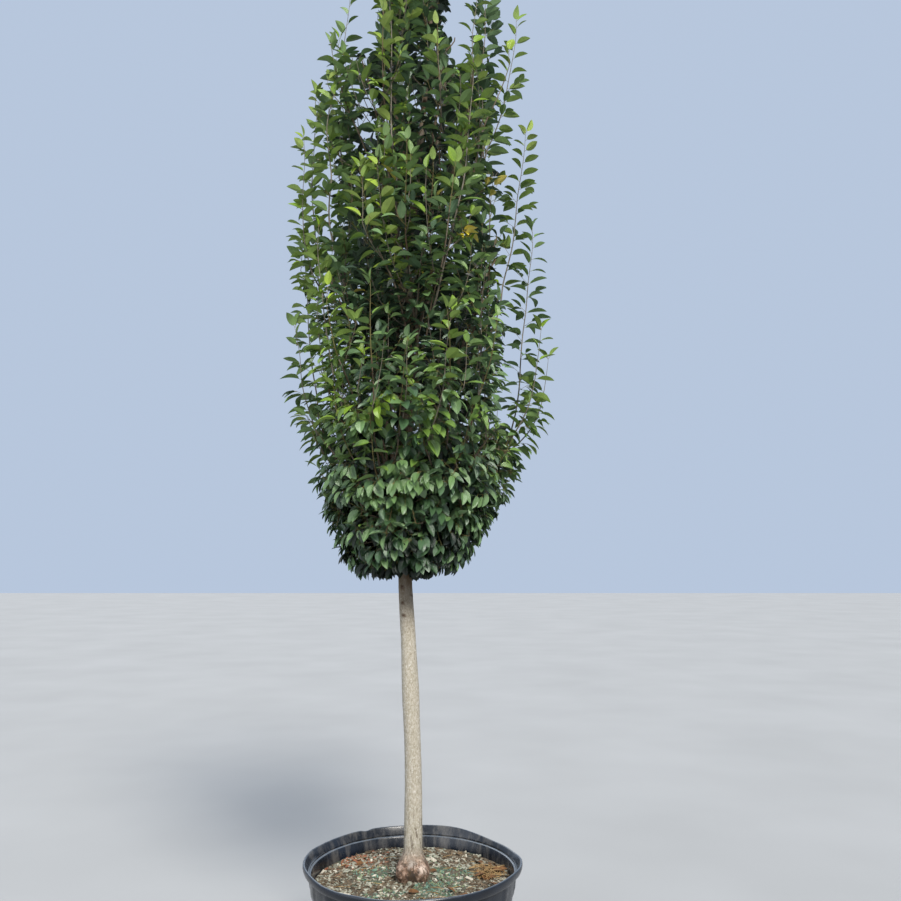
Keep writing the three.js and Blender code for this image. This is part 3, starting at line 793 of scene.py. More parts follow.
def bough_line(space):
    """The bough leaves the trunk below its space and ends at the foot of its mass"""
    lowest = CROWN_BASE + LOWEST_BOUGH + (space["seed"] % 10) * BOUGH_STEP
    level = border_at(*space["from"], space["azimuth"])
    root = trunk_axis(max(level - BOUGH_DROP, lowest))
    rise = level + BOUGH_END_RISE + RISE * BOUGH_END_DISTANCE
    end = polar(space["azimuth"], BOUGH_END_DISTANCE, max(root.z + SHORTEST_RISE, rise))
    bend = root.lerp(end, 0.6)
    bend.z = root.z + 0.36 * (end.z - root.z)
    return quadratic(root, bend, end, BOUGH_STEPS)


def stem_line(space, limb):
    """The stem runs on from the bough and ends inside the space above"""
    tip_z = border_at(*space["to"], space["azimuth"]) + STEM_CLIMB
    tip = polar(space["azimuth"], crown_radius(tip_z, space["azimuth"]) * 0.8, tip_z)
    return stem_from(limb, tip, 0.45)


def stem_from(limb, tip, reach):
    """A line that leaves a limb's end along its heading and bends up to its tip"""
    heading = (limb[-1] - limb[-2]).normalized()
    start = limb[-1] + heading * 0.01
    bend = start + heading * ((tip - start).length * reach)
    return quadratic(start, bend, tip, STEM_STEPS)


def side_stem(space, stem, t, turn, reach, near):
    """A limb that parts from the stem and climbs beside it to its own place near the outline"""
    index = int(t * (len(stem) - 1))
    start, heading = stem[index], (stem[index + 1] - stem[index]).normalized()
    room = 0.95 if space["tier"] < len(TIERS) else 0.5
    azimuth = space["azimuth"] + turn * space["half_angle"] * room
    tip_z = start.z + (stem[-1].z - start.z) * reach + 0.04
    tip = polar(azimuth, crown_radius(tip_z, azimuth) * near, tip_z)
    bend = start + heading * ((tip - start).length * 0.35)
    bend = bend.lerp(polar(azimuth, math.hypot(tip.x, tip.y) * 0.8, start.z), 0.35)
    return quadratic(start, bend, tip, SIDE_STEPS)


def skirt_limb(space, bough, part, turn, tip_z):
    """A low limb that runs out nearly level from the bough and lifts a little at its end"""
    start = bough[int(part * (len(bough) - 1))]
    azimuth = space["azimuth"] + turn * space["half_angle"]
    tip = polar(azimuth, crown_radius(tip_z, azimuth) * SKIRT_REACH, tip_z)
    bend = start.lerp(tip, 0.5)
    bend.z = max(start.z, tip_z) + 0.012
    return quadratic(start, bend, tip, SKIRT_STEPS)


def length_of(line):
    """The length of a line"""
    return sum((after - before).length for before, after in zip(line, line[1:]))


def wander(points, seed, amount):
    """A limb is never quite straight"""
    moved = []
    for i, point in enumerate(points):
        share = min(1.0, i / 4)
        place = Vector((seed * 1.7, 0.3, point.z * 5))
        drift = [noise.noise(place + Vector((0, DRIFT_OFFSET * axis, 0))) for axis in range(2)]
        moved.append(point + Vector((*drift, 0)) * amount * share)
    return moved


def add_limb(shape, points, radius, tip_radius, sides, collar=0.0):
    """An uneven limb, with a collar where it leaves the trunk"""

    def radius_at(ring, share, angle):
        base = radius + (tip_radius - radius) * share
        base += collar * bell(ring, 1.2)
        return base * (1 + 0.10 * noise.noise(points[ring] * 60 + Vector((angle, 0, 0))))

    tube(shape, points, radius_at, sides)


# Twigs, shoots and leaves


class Growth:
    """What grows: limbs, twigs, leaf stalks, the list of leaves, and the points of the stems"""

    def __init__(self):
        self.limbs = Shape()
        self.twigs = Shape()
        self.stalks = Shape()
        self.leaves = []
        self.joints = []


def shoot_line(start, heading, length, lift, space, inset, draw, wild=TWIG_WILDNESS):
    """It sets out along its heading, turns towards the sky by its lift, and climbs along the
    outline of the leaves where it comes to it"""
    points, point, along = [start], start.copy(), heading.copy()
    for _ in range(max(1, round(length / GROWTH_STEP))):
        jitter = jolt(draw) * wild
        along = (along + UP * (lift * GROWTH_STEP) + jitter).normalized()
        ahead = point + along * GROWTH_STEP
        if outside(ahead, inset):
            out = outward_at(ahead)
            inwards = out * (OFF_THE_OUTLINE * max(0.0, along.dot(out)))
            along = (along - inwards + UP * UP_THE_OUTLINE).normalized()
            ahead = point + along * GROWTH_STEP
            if outside(ahead, inset):
                break
        if not within_borders(space, ahead) or ahead.z < fringe_height(ahead) + 0.03:
            break
        if in_sky(ahead, WOOD_FROM_SKY if ahead.y < SLOT_FRONT else 0.0):
            break
        points.append(ahead)
        point = ahead
    return points


def reach_outwards(start, heading, inset, most):
    """How far a straight line runs before it meets the outline, drawn in by the inset"""
    distance = 0.02
    while distance < most and not outside(start + heading * distance, inset):
        distance += 0.02
    return distance


def in_sky(point, margin=0.0):
    """Whether a point lies in one of the slots of sky, or nearer to one than the margin"""
    level = point.z - SLOT_RISE * (point.z - SLOT_BASE) * point.y
    ragged = SLOT_RAGGED * noise.noise(point * 9)
    for x, low, high, half in SKY_SLOTS:
        if low < level < high and abs(point.x - x) < half * (1 + ragged) + margin:
            return True
    return False


def thinness(point):
    """How open the foliage is: closed in its dome, looser in streaks between its upright limbs"""
    azimuth = azimuth_of(point)
    streak = noise.noise(polar(azimuth, 3.1, point.z * 0.9))
    height = risen(point.z, THIN_SETS_IN) * (1 - 0.9 * risen(point.z, THIN_ENDS))
    return height * (0.22 + 1.25 * max(0.0, streak) + 0.22 * risen(point.z, THINNER_SETS_IN))


def fringe_height(point):
    """The height of the dome's lower edge, uneven from spray to spray"""
    return FRINGE + 0.045 * noise.noise(Vector((point.x * 9, point.y * 9, 4.2)))


def hanging(z):
    """How far the leaves hang down: fully in the dome at the foot, hardly in the upper half"""
    return 1 - risen(z, HANGING_ENDS)


def add_leaf(growth, root, heading, plane, hand, size, turn, tone, upright, draw, free=False):
    """One leaf on its stalk, on one hand of a shoot, with its face turned to the light"""
    outward = outward_at(root)
    low = hanging(root.z) * (1 - 0.6 * upright)
    beside = heading.cross(plane).normalized() * hand
    droop = draw(0.05, 0.42) * (1 - upright) + draw(-0.22, 0.24) * upright
    droop += 1.35 * low * draw(0.75, 1.2)
    axis = heading * math.cos(turn) + beside * math.sin(turn) - UP * droop
    axis = (axis + outward * (0.12 + 0.5 * low)).normalized()
    face = UP * (0.95 - 0.55 * low) + outward * (0.3 + 0.8 * low) + plane * 0.2
    face += jolt(draw) * (0.42 - 0.14 * low)
    face = face - axis * face.dot(axis)
    if face.length < 0.1:
        return
    face.normalize()
    foot = root + axis * PETIOLE
    tip = foot + axis * (LEAF_LENGTH * size)
    slack = TIP_REACH + SPIRE_REACH * risen(root.z, SPIRE_SETS_IN)
    if beyond_box(tip) or not free and (outside(tip, -slack) or in_sky(tip) or in_sky(foot)):
        return
    bare = INNER_BARE * risen(root.z, BARE_SETS_IN) * (1 - outside_share(root))
    if not free and draw(0, 1) < bare * (1 - risen(root.z, BARE_ENDS)):
        return
    blade = foot + axis * 0.03
    trunk = trunk_axis(blade.z)
    off_trunk = math.hypot(blade.x - trunk.x, blade.y - trunk.y)
    if off_trunk < trunk_radius(root.z) + TRUNK_ROOM or tip.z < fringe_height(tip):
        return
    growth.leaves.append((*foot, *axis, *face, size, draw(0.9, 1.12), tone, draw(0, 1)))
    radius_at = tapered(STALK_RADIUS, STALK_RADIUS)
    tube(growth.stalks, [root, foot + axis * 0.003], radius_at, 3, capped=False)


def beyond_box(point):
    """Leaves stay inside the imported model's box, and a little more"""
    (x0, y0, _), (x1, y1, z1) = cad_box
    return (
        not x0 - BOX_SLACK < point.x < x1 + BOX_SLACK
        or not y0 - BOX_SLACK < point.y < y1 + BOX_SLACK
        or point.z > z1 + BOX_SLACK
    )


def outside_share(point):
    """0 on the axis, 1 on the outline of the leaves"""
    radius = crown_radius(point.z, azimuth_of(point)) or 1
    return min(1.0, math.hypot(point.x, point.y) / radius)


def tone_of(point, tip_share, draw):
    """How light a spray is painted, from 0 for the shade at the foot to 1 for the sunny tips:
    painted shade and sunlight
    """
    height = (point.z - CROWN_BASE) / (CROWN_TOP - CROWN_BASE)
    patch = noise.noise(point * 4.5)
    share = outside_share(point)
    # Painted light: outer sprays, tips and higher sprays lighter, inner ones darker, the more so
    # higher up
    lit = 0.33 * share**3 + 0.17 * tip_share - 0.36 * (1 - share) * height
    # Painted light and shade of the places listed
    for x, z, wide, high, more in LIT_AND_SHADED_PLACES:
        lit += more * math.exp(-(((point.x - x) / wide) ** 2) - ((point.z - z) / high) ** 2)
    spread = 0.8 + 0.2 * smooth(height * 3 - 0.3)
    chance = spread * (0.26 * patch + draw(-0.22, 0.24))
    tone = -0.07 + (0.30 + 0.20 * share**2) * height + lit + chance
    return min(tone, 0.39 + 0.70 * risen(point.z, SUN_SETS_IN))


def add_leaves(growth, points, first, internode, tone, size, upright, draw, free=False):
    """Leaves sit on the two hands of a shoot in turn, more upright and smaller towards its tip"""
    heading = (points[-1] - points[0]).normalized()
    outward = outward_at(points[0])
    if heading.z > 0.75:
        bearing = math.pi / 2 + draw(-0.9, 0.9)
        plane = polar(bearing, 1, 0)
    else:
        plane = (UP + outward * draw(0.1, 0.7) + outward.cross(UP) * draw(-0.3, 0.3)).normalized()
    plane = (plane - heading * plane.dot(heading)).normalized()
    length = GROWTH_STEP * (len(points) - 1)
    count = int((length - first) / internode)
    hand = 1 if draw(0, 1) < 0.5 else -1
    for i in range(max(0, count + 1)):
        root, along = point_along(points, (first + i * internode) / GROWTH_STEP)
        share = i / max(1, count)
        scale = size * draw(0.85, 1.12) * (1 - 0.28 * smooth((share - 0.6) / 0.4))
        turn = draw(1.0, 1.35) - 0.5 * share**2
        shade = tone + upright * (0.22 * share - 0.10)
        add_leaf(growth, root, along, plane, hand, scale, turn, shade, upright, draw, free)
        hand = -hand
    along = (points[-1] - points[-2]).normalized()
    for turn, side in ((draw(0.0, 0.25), hand), (draw(0.5, 0.8), -hand)):
        scale = size * draw(0.6, 0.85)
        shade = tone + 0.12 * upright
        add_leaf(growth, points[-1], along, plane, side, scale, turn, shade, upright, draw, free)


def add_twig(growth, stem, place, k, t, space, draw):
    """A twig leaves the stem by the golden angle, climbs, and bears short shoots on its two sides.
    One in a few is vigorous: it runs up the outline of the leaves, clear of the rest"""
    start, along = point_along(stem, place)
    u = along.cross(Vector((0.3, 1, 0.1))).normalized()
    w = along.cross(u)
    turn = k * GOLDEN_ANGLE + space["seed"]
    hang = space["hang"] * (1 - t)
    climb = 0.45 + 0.6 * t - 0.85 * hang + draw(-0.15, 0.2)
    heading = (u * math.cos(turn) + w * math.sin(turn) + along * climb).normalized()
    outward = outward_at(start)
    inwards = heading.dot(outward) < -0.2
    vigorous = k % VIGOROUS == 1 and not inwards and start.z > VIGOROUS_FROM
    if not vigorous and draw(0, 1) < thinness(start + heading * 0.12):
        return
    dome = 1 - risen(start.z, DOME_ENDS)
    inset = OUTLINE_INSET if vigorous else BODY_INSET + (OUTLINE_INSET - BODY_INSET) * dome
    far = reach_outwards(start, heading, inset, 0.45)
    spare = by_height(start.z, *TWIG_SPARE)
    if inwards:
        length = SHORTEST_TWIG + draw(0, 0.12)
    else:
        length = min(LONGEST_TWIG, far + spare * draw(0.1, 1.1))
    if space is TRUNK_SPACE:
        length = draw(SHORTEST_TWIG, 0.26)
    if vigorous:
        length = min(LONGEST_VIGOROUS, far + draw(0.16, 0.34))
    lift = 5.5 * (1 - hang) + 0.4 * hang
    wild = VIGOROUS_WILDNESS if vigorous else TWIG_WILDNESS
    line = shoot_line(start, heading, length, lift, space, inset, draw, wild)
    if len(line) < 3:
        return
    tube(growth.twigs, line, tapered(TWIG_RADIUS, SHOOT_TIP_RADIUS), TWIG_SIDES)
    length = GROWTH_STEP * (len(line) - 1)
    size = by_height(start.z, *LEAF_SIZES)
    upright = 1.0 if vigorous else smooth((line[-1] - line[-2]).normalized().z * 2 - 0.9)
    tone = tone_of(line[-1], 0.9 if vigorous else 0.6, draw)
    bare = 0.12 if vigorous else 0.2
    size_here = size * (1.06 if vigorous else 1)
    add_leaves(growth, line, bare * length, LONG_INTERNODE, tone, size_here, upright, draw)
    spacing = by_height(start.z, *SHOOT_SPREAD) * SHOOT_SPACING
    count = int((0.45 if vigorous else 0.8) * length / spacing)
    across = (UP * 0.8 + outward * 0.6).normalized()
    for i in range(count):
        foot, ahead = point_along(line, (i + 0.6) * spacing / GROWTH_STEP)
        side = ahead.cross(across).normalized() * (-1 if i % 2 else 1)
        way = ahead * 0.7 + side * draw(0.6, 1.0)
        way = (way + UP * (draw(-0.05, 0.35) - 0.4 * hang)).normalized()
        reach = draw(0.05, 0.13) * (1.1 - 0.4 * i / max(1, count))
        shoot = shoot_line(foot, way, reach, lift * 0.6, space, inset * 0.6, draw)
        if len(shoot) < 2:
            continue
        tube(growth.twigs, shoot, tapered(SHOOT_RADIUS, SHOOT_TIP_RADIUS), SHOOT_SIDES, slot=1)
        tone = tone_of(shoot[-1], i / max(1, count), draw)
        internode = SHORT_INTERNODE * by_height(foot.z, *LEAF_SPREAD)
        add_leaves(growth, shoot, 0.012, internode, tone, size * draw(0.85, 1.0), 0.0, draw)


def grow_stem(growth, stem, radius, space, seed, spacing):
    """A stem with its twigs, and its own leafy tip"""
    draw = seeded(seed)
    for index in range(len(stem) // 3, len(stem)):
        if in_sky(stem[index], WOOD_FROM_SKY):
            stem = stem[:index]
            break
    sides = STEM_SIDES if radius > THICK_STEM_RADIUS else THIN_STEM_SIDES
    add_limb(growth.limbs, stem, radius, STEM_TIP_RADIUS, sides)
    growth.joints.extend(stem)
    twigs = round(length_of(stem) / spacing)
    for k in range(twigs):
        t = (k + 0.6) / twigs
        add_twig(growth, stem, t * (len(stem) - 1), k, t, space, draw)
    heading = (stem[-1] - stem[-2]).normalized()
    line = shoot_line(stem[-1], heading, draw(0.14, 0.3), 4.0, space, 0.02, draw, TIP_WILDNESS)
    if len(line) > 2:
        tube(growth.twigs, line, tapered(STEM_TIP_RADIUS, SHOOT_TIP_RADIUS), TWIG_SIDES, slot=1)
        tone, size = tone_of(line[-1], 1.0, draw), by_height(stem[-1].z, *LEAF_SIZES)
        add_leaves(growth, line, 0.01, LONG_INTERNODE, tone, size, 1.0, draw)


def grow_leader(growth, tip, foot, radius, number):
    """A free shoot: it parts from the nearest limb below, passes its foot and runs up to its tip. A
    thin one springs from the outside, a thick one from further in"""
    draw = seeded(LEADER_SEED + number)
    below = [joint for joint in growth.joints if 0.12 < foot.z - joint.z < 0.7]
    steep, inner = (0.12, foot.xy) if radius < THIN_LIMB_RADIUS else (0.4, foot.xy * 0.55)

    def detour(joint):
        return math.dist(joint.xy, inner) + steep * abs(foot.z - joint.z - 0.36)

    start = min(below, key=detour)
    bend = foot * 2 - (start + tip) / 2
    bend = bend.lerp(start.lerp(tip, 0.5), 0.35)
    total = length_of(quadratic(start, bend, tip, LEADER_STEPS))
    line = quadratic(start, bend, tip, round(total / GROWTH_STEP))
    line = wander(line, 60 + number, LEADER_DRIFT)
    sides = 6 if radius > THIN_LIMB_RADIUS else 5
    tube(growth.twigs, line, tapered(radius, SHOOT_TIP_RADIUS), sides)
    size = by_height(tip.z, *LEAF_SIZES) * 1.05
    tone = tone_of(tip, 0.4, draw)
    add_leaves(growth, line, 0.1 * total, LONG_INTERNODE * 0.9, tone, size, 1.0, draw, free=True)
    even = tapered(SHOOT_TIP_RADIUS, SHOOT_TIP_RADIUS)
    tone, size = tone - 0.12, size * 0.9
    for i in range(int(0.65 * total / LEADER_SHOOTS)):
        index = int((0.12 * total + LEADER_SHOOTS * i) / GROWTH_STEP)
        ahead = (line[index + 1] - line[index]).normalized()
        across = ahead.cross(Vector((draw(-0.5, 0.5), 1, 0))).normalized() * (-1 if i % 2 else 1)
        way = ahead * 0.8 + across
        points = [line[index] + way * (GROWTH_STEP * 0.7 * k) for k in range(2 + i % 3)]
        tube(growth.twigs, points, even, SHOOT_SIDES, slot=1)
        add_leaves(growth, points, 0.008, SHORT_INTERNODE, tone, size, 0.4, draw, free=True)


def grow_mass(growth, space):
    """The bough of one space, its stem, and the limbs beside it; the lowest bear a skirt as well"""
    bough = bough_line(space)
    stem = stem_line(space, bough)
    thick, seed = space["bough"] * BOUGH_TAPER, space["seed"]
    add_limb(growth.limbs, bough, space["bough"], thick, BOUGH_SIDES, collar=0.005)
    if space["hang"]:
        draw = seeded(seed + 77)
        for k in range(LOW_TWIGS):
            share = 0.22 + 0.7 * k / LOW_TWIGS
            add_twig(growth, bough, share * (len(bough) - 1), k, 0.9 * (k % 2), space, draw)
        for n, (part, turn, tip_z) in enumerate(SKIRT_LIMBS):
            line = wander(skirt_limb(space, bough, part, turn, tip_z), seed + 31 * n, SKIRT_DRIFT)
            grow_stem(growth, line, SKIRT_RADIUS, space, seed + 7000 + n, TWIG_SPACING * 0.62)
    stem = [bough[-1]] + wander(stem, seed, STEM_DRIFT)
    grow_stem(growth, stem, thick, space, seed, TWIG_SPACING)
    for n, limb in enumerate(SIDE_STEMS + (LOW_STEMS if space["hang"] else ())):
        line = wander(side_stem(space, stem, *limb), seed + 10 * n + 5, STEM_DRIFT)
        grow_stem(growth, line, thick * 0.62, space, seed + 1000 * (n + 1), TWIG_SPACING * 1.1)


def grow_top(growth):
    """The trunk's own end with its limbs"""
    trunk_end = [trunk_axis(TRUNK_TIP - 0.04), trunk_axis(TRUNK_TIP)]
    tip_z = CROWN_TOP - 0.08
    tip = Vector((by_height(tip_z, CROWN_HEIGHTS, CROWN_SHIFTS), -0.004, tip_z))
    stem = [trunk_end[1]] + wander(stem_from(trunk_end, tip, 0.5), TOP_SEED, TOP_DRIFT)
    grow_stem(growth, stem, TRUNK_TIP_RADIUS, TOP_SPACE, TOP_SEED, TWIG_SPACING * 0.75)
    for n, limb in enumerate(TOP_STEMS):
        line, seed = side_stem(TOP_SPACE, stem, *limb), TOP_SEED + 1000 * (n + 1)
        grow_stem(growth, line, THIN_LIMB_RADIUS, TOP_SPACE, seed, TWIG_SPACING * 1.15)


def grow_crown():
    """All that grows: mass by mass, then what stands round the trunk and what stands free"""
    growth = Growth()
    add_trunk(growth.limbs)
    for space in spaces_of_crown():
        grow_mass(growth, space)
    draw = seeded(TRUNK_TWIG_SEED)
    heights = np.linspace(TRUNK_TWIGS_FROM, TRUNK_TIP - 0.1, TRUNK_TWIGS)
    axis = [trunk_axis(z) for z in heights]
    for k in range(TRUNK_TWIGS - 1):
        add_twig(growth, axis, k, k, 0.3, TRUNK_SPACE, draw)
    for n, (start, azimuth, tip_z) in enumerate(CAP_LIMBS):
        tip = polar(azimuth, crown_radius(tip_z, azimuth) * CAP_REACH, tip_z)
        line = stem_from([trunk_axis(start - 0.02), trunk_axis(start)], tip, 0.3)
        grow_stem(growth, line, THIN_LIMB_RADIUS, CAP_SPACE, CAP_SEED + n, TWIG_SPACING * 1.2)
    for number, (tip, foot, radius) in enumerate(LEADERS):
        grow_leader(growth, Vector(tip), Vector(foot), radius, number)
    grow_top(growth)
    return growth


# Leaf shapes


def leaf_template(variant):
    """Corners of one leaf of length 1 and half width 1, folded along its midrib and bent down to
    its tip: its upper side, then its underside a hair below, each as two halves"""
    draw = seeded(LEAF_SEED + variant)
    fold = math.radians(draw(14, 36))
    arch = draw(0.15, 0.75)
    twist = draw(-0.35, 0.35)
    lean = draw(-0.06, 0.06)
    corners, uvs, triangles, slots = [], [], [], []

    def spot(t, across, hand):
        bent = arch * t
        x = math.sin(bent) / arch
        z = -(1 - math.cos(bent)) / arch
        turn = twist * t
        side = hand * across * math.cos(fold)
        rise = across * math.sin(fold) * LEAF_ASPECT / 2
        y = side * math.cos(turn) - rise * math.sin(turn) + lean * math.sin(math.pi * t) * 2
        z += rise * math.cos(turn) + side * math.sin(turn) * LEAF_ASPECT / 2
        return x, y, z

    for layer in (0, 1):
        lowered = -BLADE_THICKNESS * layer
        for hand in (-1, 1):
            base = len(corners)
            stations = [(0.0, 0.0), *LEAF_STATIONS, (1.0, 0.0)]
            for t, width in stations:
                x, y, z = spot(t, 0, hand)
                corners.append((x, y, z + lowered))
                uvs.append((0.5, t))
                x, y, z = spot(t, width, hand)
                corners.append((x, y, z + lowered * 0.5))
                uvs.append((0.5 + 0.5 * hand * width, t))
            for i in range(len(stations) - 1):
                a, b, c, d = range(base + 2 * i, base + 2 * i + 4)
                faces = [(a, c, d), (a, d, b)]
                if i == 0:
                    faces = [(a, c, d)]
                if i == len(stations) - 2:
                    faces = [(a, c, b)]
                flipped = (hand < 0) ^ (layer == 1)
                triangles += [face[::-1] if flipped else face for face in faces]
                slots += [layer] * len(faces)
    return np.array(corners), np.array(uvs), np.array(triangles), np.array(slots)


def tones_of(foot, tone, pick):
    """The number of each leaf's tone, by how light its spray is, or the last where it has turned"""
    turned = len(LEAF_TONES) - 1
    chosen = np.searchsorted([row[1] for row in LEAF_TONES], tone)
    chosen = np.clip(chosen, 0, turned - 1)
    chosen[(pick < STRAY_TURNED) & (foot[:, 2] > STRAY_FROM)] = turned
    front = (foot[:, 1] < SPRAY_FRONT) & (pick < SPRAY_TURNED)
    for x, z, reach in TURNED_PLACES:
        chosen[front & (np.hypot(foot[:, 0] - x, foot[:, 2] - z) < reach)] = turned
    return chosen


def leaf_piece(name, materials, templates, variant, foot, frames):
    """One piece of leaves, by setting each shape at all its places at once"""
    shape = Shape()
    for v, (corners, uvs, triangles, slots) in enumerate(templates):
        which = np.nonzero(variant == v)[0]
        if not len(which):
            continue
        placed = foot[which, None, :]
        for part, frame_axis in enumerate(frames):
            placed = placed + corners[None, :, part, None] * frame_axis[which, None, :]
        offsets = np.arange(len(which))[:, None, None] * len(corners)
        shape.add(
            placed.reshape(-1, 3),
            (triangles[None] + offsets).reshape(-1, 3),
            np.tile(uvs, (len(which), 1)),
            np.tile(slots, len(which)),
        )
    return shape.build(name, materials)


def build_leaves(leaves):
    """Pieces of leaves by tone, from the foot up, each with its own upper side and underside"""
    templates = [leaf_template(variant) for variant in range(LEAF_VARIANTS)]
    rows = np.array(leaves)
    foot, axis, face = rows[:, 0:3], rows[:, 3:6], rows[:, 6:9]
    size, breadth, tone, pick = rows[:, 9:13].T
    size = size * LEAF_LENGTH
    width = breadth * size * LEAF_ASPECT / 2
    frames = [size[:, None] * axis, width[:, None] * np.cross(face, axis), size[:, None] * face]
    variant = (pick * 9973 % 1 * LEAF_VARIANTS).astype(int)
    chosen = tones_of(foot, tone, pick)
    pieces = []
    for number, (name, _, gloss, upper, vein, under) in enumerate(LEAF_TONES):
        materials = [
            leaf_material(f"leaf_{name}", upper, vein, 0.36, 0.5, gloss),
            leaf_material(f"leaf_{name}_underside", under, vein, 0.62, 0.6, 0.5),
        ]
        members = np.nonzero(chosen == number)[0]
        members = members[np.argsort(foot[members, 2], kind="stable")]
        parts = math.ceil(len(members) / LEAVES_PER_PIECE)
        for part, share in enumerate(np.array_split(members, parts)):
            places = [frame_axis[share] for frame_axis in frames]
            name_here = f"leaves_{name}_{part + 1}"
            pieces.append(
                leaf_piece(name_here, materials, templates, variant[share], foot[share], places)
            )
    return pieces


# Pot


def pot_body_radius(height):
    """The wall's plain cone, without its steps"""
    return FOOT_RADIUS + (BODY_TOP_RADIUS - FOOT_RADIUS) * height / POT_HEIGHT


def pot_outside(height, azimuth):
    """The stepped wall, with low upright tabs under the rim and a slightly uneven moulded skin"""
    radius = pot_body_radius(height)
    nearest = min(BAND_HEIGHTS, key=lambda band: abs(height - band))
    radius += BAND_STEP * (smooth((height - nearest) / BAND_STEP) - 0.5)
    radius -= 0.0024 * bell(height - nearest + 0.003, 0.004)
    tab_foot, tab_head = BAND_HEIGHTS[-1] + 0.012, LIP - 0.008
    if tab_foot < height < tab_head:
        phase = (azimuth / (2 * math.pi) * RIM_TABS) % 1
        tab = 0.0028 * smooth((0.14 - abs(phase - 0.36)) / 0.02 + 0.5)
        radius += tab * smooth((height - tab_foot) / 0.006) * smooth((tab_head - height) / 0.006)
    return radius + 0.0009 * noise.noise(polar(azimuth, 2.2, height * 5))


def plateau(azimuth, start, end, soft_start, soft_end):
    """1 between two azimuths, falling off over a soft edge at either end"""
    middle, half = (start + end) / 2, (end - start) / 2
    off = turn_between(azimuth, middle)
    return smooth((off + half) / soft_start) * smooth((half - off) / soft_end)


def grip(azimuth):
    """1 at the two grips, at the left and right of the rim"""
    off = abs(math.asin(math.sin(azimuth)))
    return smooth((GRIP_HALF_ANGLE - off) / (GRIP_HALF_ANGLE / 2))


def rim_drop(azimuth):
    """The rim waves a little, dips far at the back right, and has a small notch at the back left"""
    wave = 0.0016 * math.sin(3 * azimuth + 0.8) + 0.0012 * math.sin(7 * azimuth + 2.1)
    dips = 0.015 * plateau(azimuth, -0.06, 1.25, 0.36, 0.65)
    dips += 0.006 * bell(azimuth - 2.12, 0.05)
    dips += 0.006 * plateau(azimuth, 3.6, 4.3, 0.3, 0.3)
    return dips + 0.003 + wave


def build_pot(material):
    """One skin: the foot, the stepped wall, the rim with grips and dips, and the inside"""
    inset = ((FOOT_RADIUS, 0.0), (0.03, 0.0), (0.01, 0.0), (0.003, 0.003))
    foot_edge = [(FOOT_RADIUS - reach, height) for reach, height in inset]
    by_bands = (-0.006, -0.003, 0, 0.0025, 0.005, 0.008)
    heights = sorted(
        {0.01, 0.018}
        | {round(0.03 + 0.012 * i, 4) for i in range(36)}
        | {round(band + offset, 4) for band in BAND_HEIGHTS for offset in by_bands}
    )
    heights = [height for height in heights if height < LIP - 0.003]
    inside = [
        (pot_body_radius(MIX_TOP) - INNER_SKIN, MIX_TOP - 0.01),
        (pot_body_radius(0.2) - INNER_SKIN, 0.2),
        (FOOT_RADIUS - INNER_SKIN, WALL),
        (0.0, WALL),
    ]
    rows = []
    for step in range(POT_SEGMENTS):
        azimuth = 2 * math.pi * step / POT_SEGMENTS
        line = foot_edge + [(pot_outside(height, azimuth), height) for height in heights]
        reach, drop = GRIP_REACH * grip(azimuth), rim_drop(azimuth)
        line += [
            (RIM_RADIUS - off + reach * moves, height - drop * moves) for off, height, moves in RIM
        ]
        line += inside
        rows.append([(r * math.cos(azimuth), r * math.sin(azimuth), z) for r, z in line])
    count = len(rows[0])
    segment, spot = np.divmod(np.arange(POT_SEGMENTS * (count - 1)), count - 1)
    a, b = segment * count + spot, (segment + 1) % POT_SEGMENTS * count + spot
    shape = Shape()
    shape.add(rows, np.concatenate([np.stack([a, b, b + 1], 1), np.stack([a, b + 1, a + 1], 1)]))
    pot = shape.build("nursery_pot", [material])
    weld(pot)
    cut_drains(pot)
    pot.data.shade_smooth()
    pot.data.set_sharp_from_angle(angle=math.radians(SHARP_FROM))
    return pot


def weld(piece):
    """Corners that fall together, as on the axis, become one, and faces without an area go"""
    work = bmesh.new()
    work.from_mesh(piece.data)
    bmesh.ops.remove_doubles(work, verts=work.verts, dist=1e-6)
    bmesh.ops.dissolve_degenerate(work, edges=work.edges, dist=1e-6)
    bmesh.ops.recalc_face_normals(work, faces=work.faces)
    work.to_mesh(piece.data)
    work.free()


def cut_drains(pot):
    """Round holes through the foot of the wall"""
    cutter = Shape()
    for hole in range(DRAIN_HOLES):
        azimuth = (hole + 0.5) * 2 * math.pi / DRAIN_HOLES
        inner = polar(azimuth, FOOT_RADIUS - 0.03, DRAIN_HEIGHT)
        outer = polar(azimuth, FOOT_RADIUS + 0.03, DRAIN_HEIGHT)
        across = Vector((-math.sin(azimuth), math.cos(azimuth), 0))
        corners, triangles = [], list(ring_triangles(2, DRAIN_SIDES))
        for end in (inner, outer):
            for side in range(DRAIN_SIDES):
                angle = 2 * math.pi * side / DRAIN_SIDES
                offset = across * (DRAIN_RADIUS * math.cos(angle))
                corners.append(tuple(end + (offset + UP * (DRAIN_RADIUS * math.sin(angle)))))
        corners += [tuple(inner), tuple(outer)]
        for side in range(DRAIN_SIDES):
            after = (side + 1) % DRAIN_SIDES
            triangles.append((after, side, 2 * DRAIN_SIDES))
            triangles.append((DRAIN_SIDES + side, DRAIN_SIDES + after, 2 * DRAIN_SIDES + 1))
        cutter.add(corners, triangles)
    tool = cutter.build("drain_cutter", [])
    weld(tool)
    cut = pot.modifiers.new("drains", "BOOLEAN")
    cut.operation = "DIFFERENCE"
    cut.solver = "EXACT"
    cut.object = tool
    bpy.context.view_layer.update()
    evaluated = pot.evaluated_get(bpy.context.evaluated_depsgraph_get())
    cut_mesh = bpy.data.meshes.new_from_object(evaluated)
    pot.modifiers.clear()
    pot.data = cut_mesh
    bpy.data.objects.remove(tool)


# Potting mix


